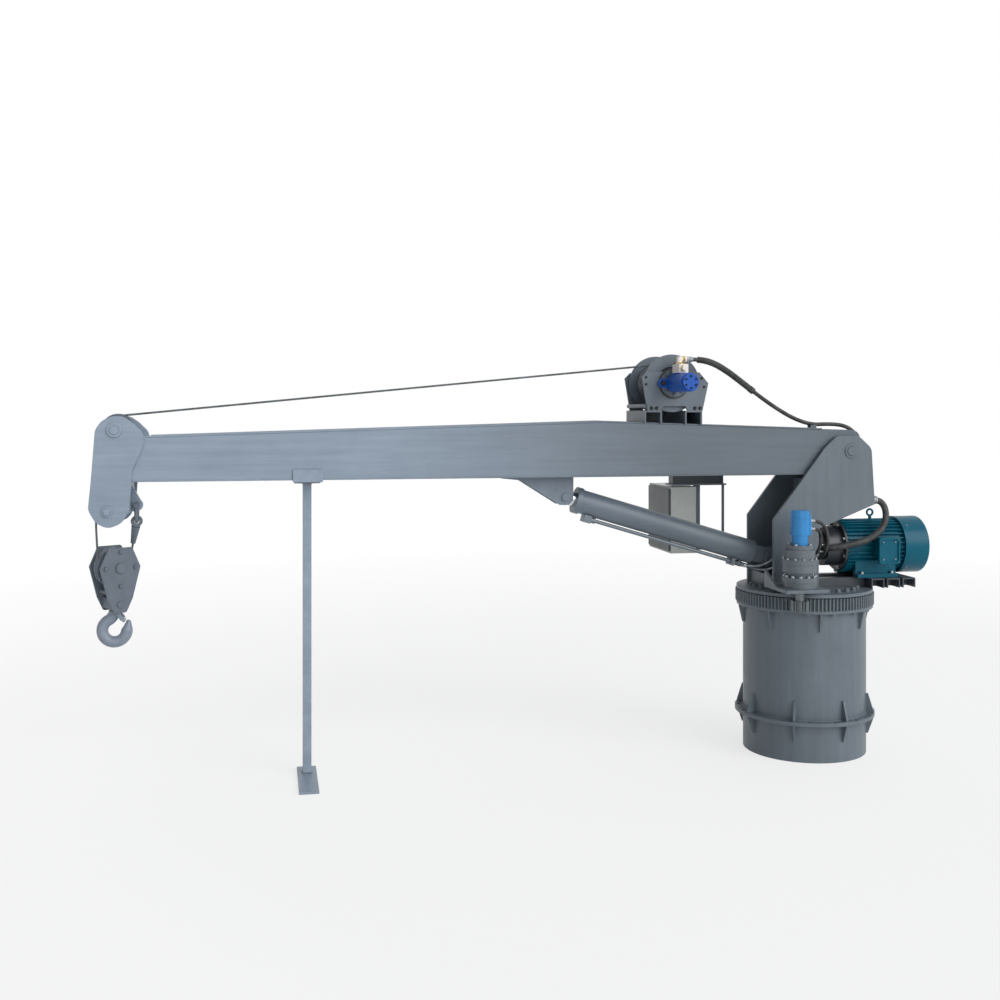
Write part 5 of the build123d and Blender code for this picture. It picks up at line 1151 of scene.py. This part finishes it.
class CRANE_OT_trim(bpy.types.Operator):
    """Adds the terminal box's cast lid, a black ring that paints the shade in the gap round the winch's
    bearing, brass fittings and the heel pin's washer
    """

    bl_idname = "crane.trim"
    bl_label = "Lid, seal and fittings"

    def execute(self, context):
        bm = bmesh.new()
        lid = ((58, 67, -1), (58, 67, 8), (55, 64, 12), (48, 57, 12), (45, 54, 4))
        slab(bm, at(370, -186, 1011), (0, -1, 0), (0, 0, 1), 16, lid)
        new_piece("terminal_box_lid", bm, "gloss_teal_enamel", "tower")
        bm = bmesh.new()
        # A black ring in the gap round the winch's bearing: painted shade of that gap
        gap_shade_ring = [(69, -0.5), (77, -0.5), (77, 2.5), (75, 4), (69, 4)]
        lathe(bm, at(drum_x, -150, drum_z), (0, -1, 0), gap_shade_ring, 64, True)
        new_piece("winch_bearing_seal", bm, "nitrile_hose_cover", "boom")
        bm = bmesh.new()
        lathe(bm, at(drum_x, -232, 1936.6), (0, 0, 1), [(17, 0), (18, 1), (18, 8), (16, 9)], 6)
        lathe(bm, at(-734, -232, 1960.63), (1, 0, 0), [(16, 0), (17, 1), (17, 10), (15, 11)], 6)
        lathe(bm, at(drum_x, -296, 1915.6), (0, -1, 0), [(15, 0), (16, 1), (16, 9), (14, 10)], 6)
        new_piece("brass_oil_fittings", bm, "turned_brass", "boom")
        bm = bmesh.new()
        washer = [(24.5, -0.5), (37, -0.5), (37, 4), (36, 5), (24.5, 5)]
        lathe(bm, at(177, -170, 1512), (0, -1, 0), washer, 48, True)
        new_piece("heel_pin_washer", bm, "brushed_column_enamel", "tower")
        return {"FINISHED"}


# Stage


class CRANE_OT_stage(bpy.types.Operator):
    """Sets the pale floor, the soft light and the camera"""

    bl_idname = "crane.stage"
    bl_label = "Studio stage"

    def execute(self, context):
        settings = context.scene.stage_settings
        self.add_floor()
        self.add_world(context, settings)
        self.add_suns(context, settings)
        lens = bpy.data.cameras.new("view_camera")
        lens.lens = settings.lens
        lens.sensor_width = 36.0
        lens.shift_y = settings.shift
        lens.clip_end = 200.0
        camera = bpy.data.objects.new("view_camera", lens)
        camera.location = settings.eye
        camera.rotation_euler = Vector(settings.look).to_track_quat("-Z", "Y").to_euler()
        context.scene.collection.objects.link(camera)
        context.scene.camera = camera
        context.scene.view_settings.view_transform = "Standard"
        return {"FINISHED"}

    def add_floor(self):
        """A wide pale floor that takes the shadow near the crane and fades to white far away."""
        bm = bmesh.new()
        bmesh.ops.create_grid(bm, x_segments=2, y_segments=2, size=60)
        mesh = bpy.data.meshes.new("studio_floor")
        bm.to_mesh(mesh)
        bm.free()
        floor = bpy.data.objects.new("studio_floor", mesh)
        floor.location.z = -0.0005
        bpy.context.scene.collection.objects.link(floor)
        material, tree, shader, place = start_material("pale_studio_floor")
        set_inputs(tree, shader, {"Base Color": rgba(linear("#f4f4f3")), "Roughness": 0.9})
        distance = add_node(tree, "VectorMath", {0: place}, operation="LENGTH").outputs["Value"]
        fade = {"Value": distance, "From Min": 3.0, "From Max": 9.0, "To Min": 0.7}
        far = add_node(tree, "MapRange", fade).outputs[0]
        rays = add_node(tree, "LightPath").outputs
        seen = add_node(
            tree, "Math", {0: rays["Is Camera Ray"], 1: rays["Is Glossy Ray"]}, operation="MAXIMUM"
        ).outputs[0]
        share = add_node(tree, "Math", {0: far, 1: seen}, operation="MULTIPLY").outputs[0]
        white = add_node(tree, "Emission", {"Strength": 1.0}).outputs[0]
        mixed = add_node(tree, "MixShader", {0: share, 1: shader.outputs[0], 2: white}).outputs[0]
        set_inputs(tree, tree.nodes["Material Output"], {"Surface": mixed})
        mesh.materials.append(material)

    def add_world(self, context, settings):
        """A soft sky, brighter on the right, that is plain white to the camera, reflections and glass."""
        world = bpy.data.worlds.new("studio_world")
        world.use_nodes = True
        tree = world.node_tree
        dim = tree.nodes["Background"]
        aim = add_node(tree, "TexCoord").outputs["Generated"]
        along = add_node(tree, "SeparateXYZ", {0: aim}).outputs["X"]
        reach = {"Value": along, "From Min": -1.0, "To Min": settings.shade, "To Max": settings.sky}
        strength = add_node(tree, "MapRange", reach).outputs[0]
        set_inputs(tree, dim, {"Color": rgba(linear("#f3f6fa")), "Strength": strength})
        rays = add_node(tree, "LightPath").outputs
        seen = rays["Is Camera Ray"]
        for other in ("Is Transmission Ray", "Is Glossy Ray"):
            seen = add_node(tree, "Math", {0: seen, 1: rays[other]}, operation="MAXIMUM").outputs[0]
        white = add_node(tree, "Background", {"Color": rgba((1, 1, 1)), "Strength": 1.0}).outputs[0]
        mixed = add_node(tree, "MixShader", {0: seen, 1: dim.outputs[0], 2: white}).outputs[0]
        set_inputs(tree, tree.nodes["World Output"], {"Surface": mixed})
        context.scene.world = world

    def add_suns(self, context, settings):
        """A broad soft sun from the right, and a weaker one from the front to light between the cheeks."""
        for name, strength, direction in (
            ("soft_sun", settings.key, (-0.6, 0.72, -0.5)),
            ("front_fill", settings.fill, (-0.1, 1.0, -0.15)),
        ):
            lamp = bpy.data.lights.new(name, "SUN")
            lamp.energy = strength
            lamp.angle = math.radians(40)
            sun = bpy.data.objects.new(name, lamp)
            sun.rotation_euler = Vector(direction).to_track_quat("-Z", "Y").to_euler()
            context.scene.collection.objects.link(sun)


class CRANE_OT_paint(bpy.types.Operator):
    """Gives every CAD part its finish"""

    bl_idname = "crane.paint"
    bl_label = "Paint the parts"

    def execute(self, context):
        left = set(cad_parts)
        for finish_name, names in node_finishes.items():
            for name in names:
                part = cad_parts[name].data
                part.materials.clear()
                part.materials.append(finish(finish_name))
                left.discard(name)
        if left:
            raise RuntimeError(f"no finish for {sorted(left)}")
        return {"FINISHED"}


# Panel and registration

operators = (
    CRANE_OT_stage,
    CRANE_OT_hoses,
    CRANE_OT_hoist_rope,
    CRANE_OT_rope_winding,
    CRANE_OT_hose_ends,
    CRANE_OT_paint,
    CRANE_OT_welds,
    CRANE_OT_fasteners,
    CRANE_OT_trim,
)
groups = {
    "crane_paints": CranePaints,
    "rope_sizes": RopeSizes,
    "hose_sizes": HoseSizes,
    "weld_sizes": WeldSizes,
    "stage_settings": StageSettings,
}


class CRANE_PT_dressing(bpy.types.Panel):
    """Lists the crane's pieces and their sizes"""

    bl_idname = "CRANE_PT_dressing"
    bl_label = "Deck crane"
    bl_space_type = "VIEW_3D"
    bl_region_type = "UI"
    bl_category = "Crane"

    def draw(self, context):
        for name, group in groups.items():
            box = self.layout.box()
            for key in group.__annotations__:
                box.prop(getattr(context.scene, name), key)
        for operator in operators:
            self.layout.operator(operator.bl_idname)


def register():
    for name, group in groups.items():
        bpy.utils.register_class(group)
        setattr(bpy.types.Scene, name, bpy.props.PointerProperty(type=group))
    for operator in operators:
        bpy.utils.register_class(operator)
    bpy.utils.register_class(CRANE_PT_dressing)


def unregister():
    bpy.utils.unregister_class(CRANE_PT_dressing)
    for operator in reversed(operators):
        bpy.utils.unregister_class(operator)
    for name, group in groups.items():
        delattr(bpy.types.Scene, name)
        bpy.utils.unregister_class(group)


def main():
    register()
    for operator in operators:
        family, name = operator.bl_idname.split(".")
        getattr(getattr(bpy.ops, family), name)()


if __name__ == "__main__":
    main()
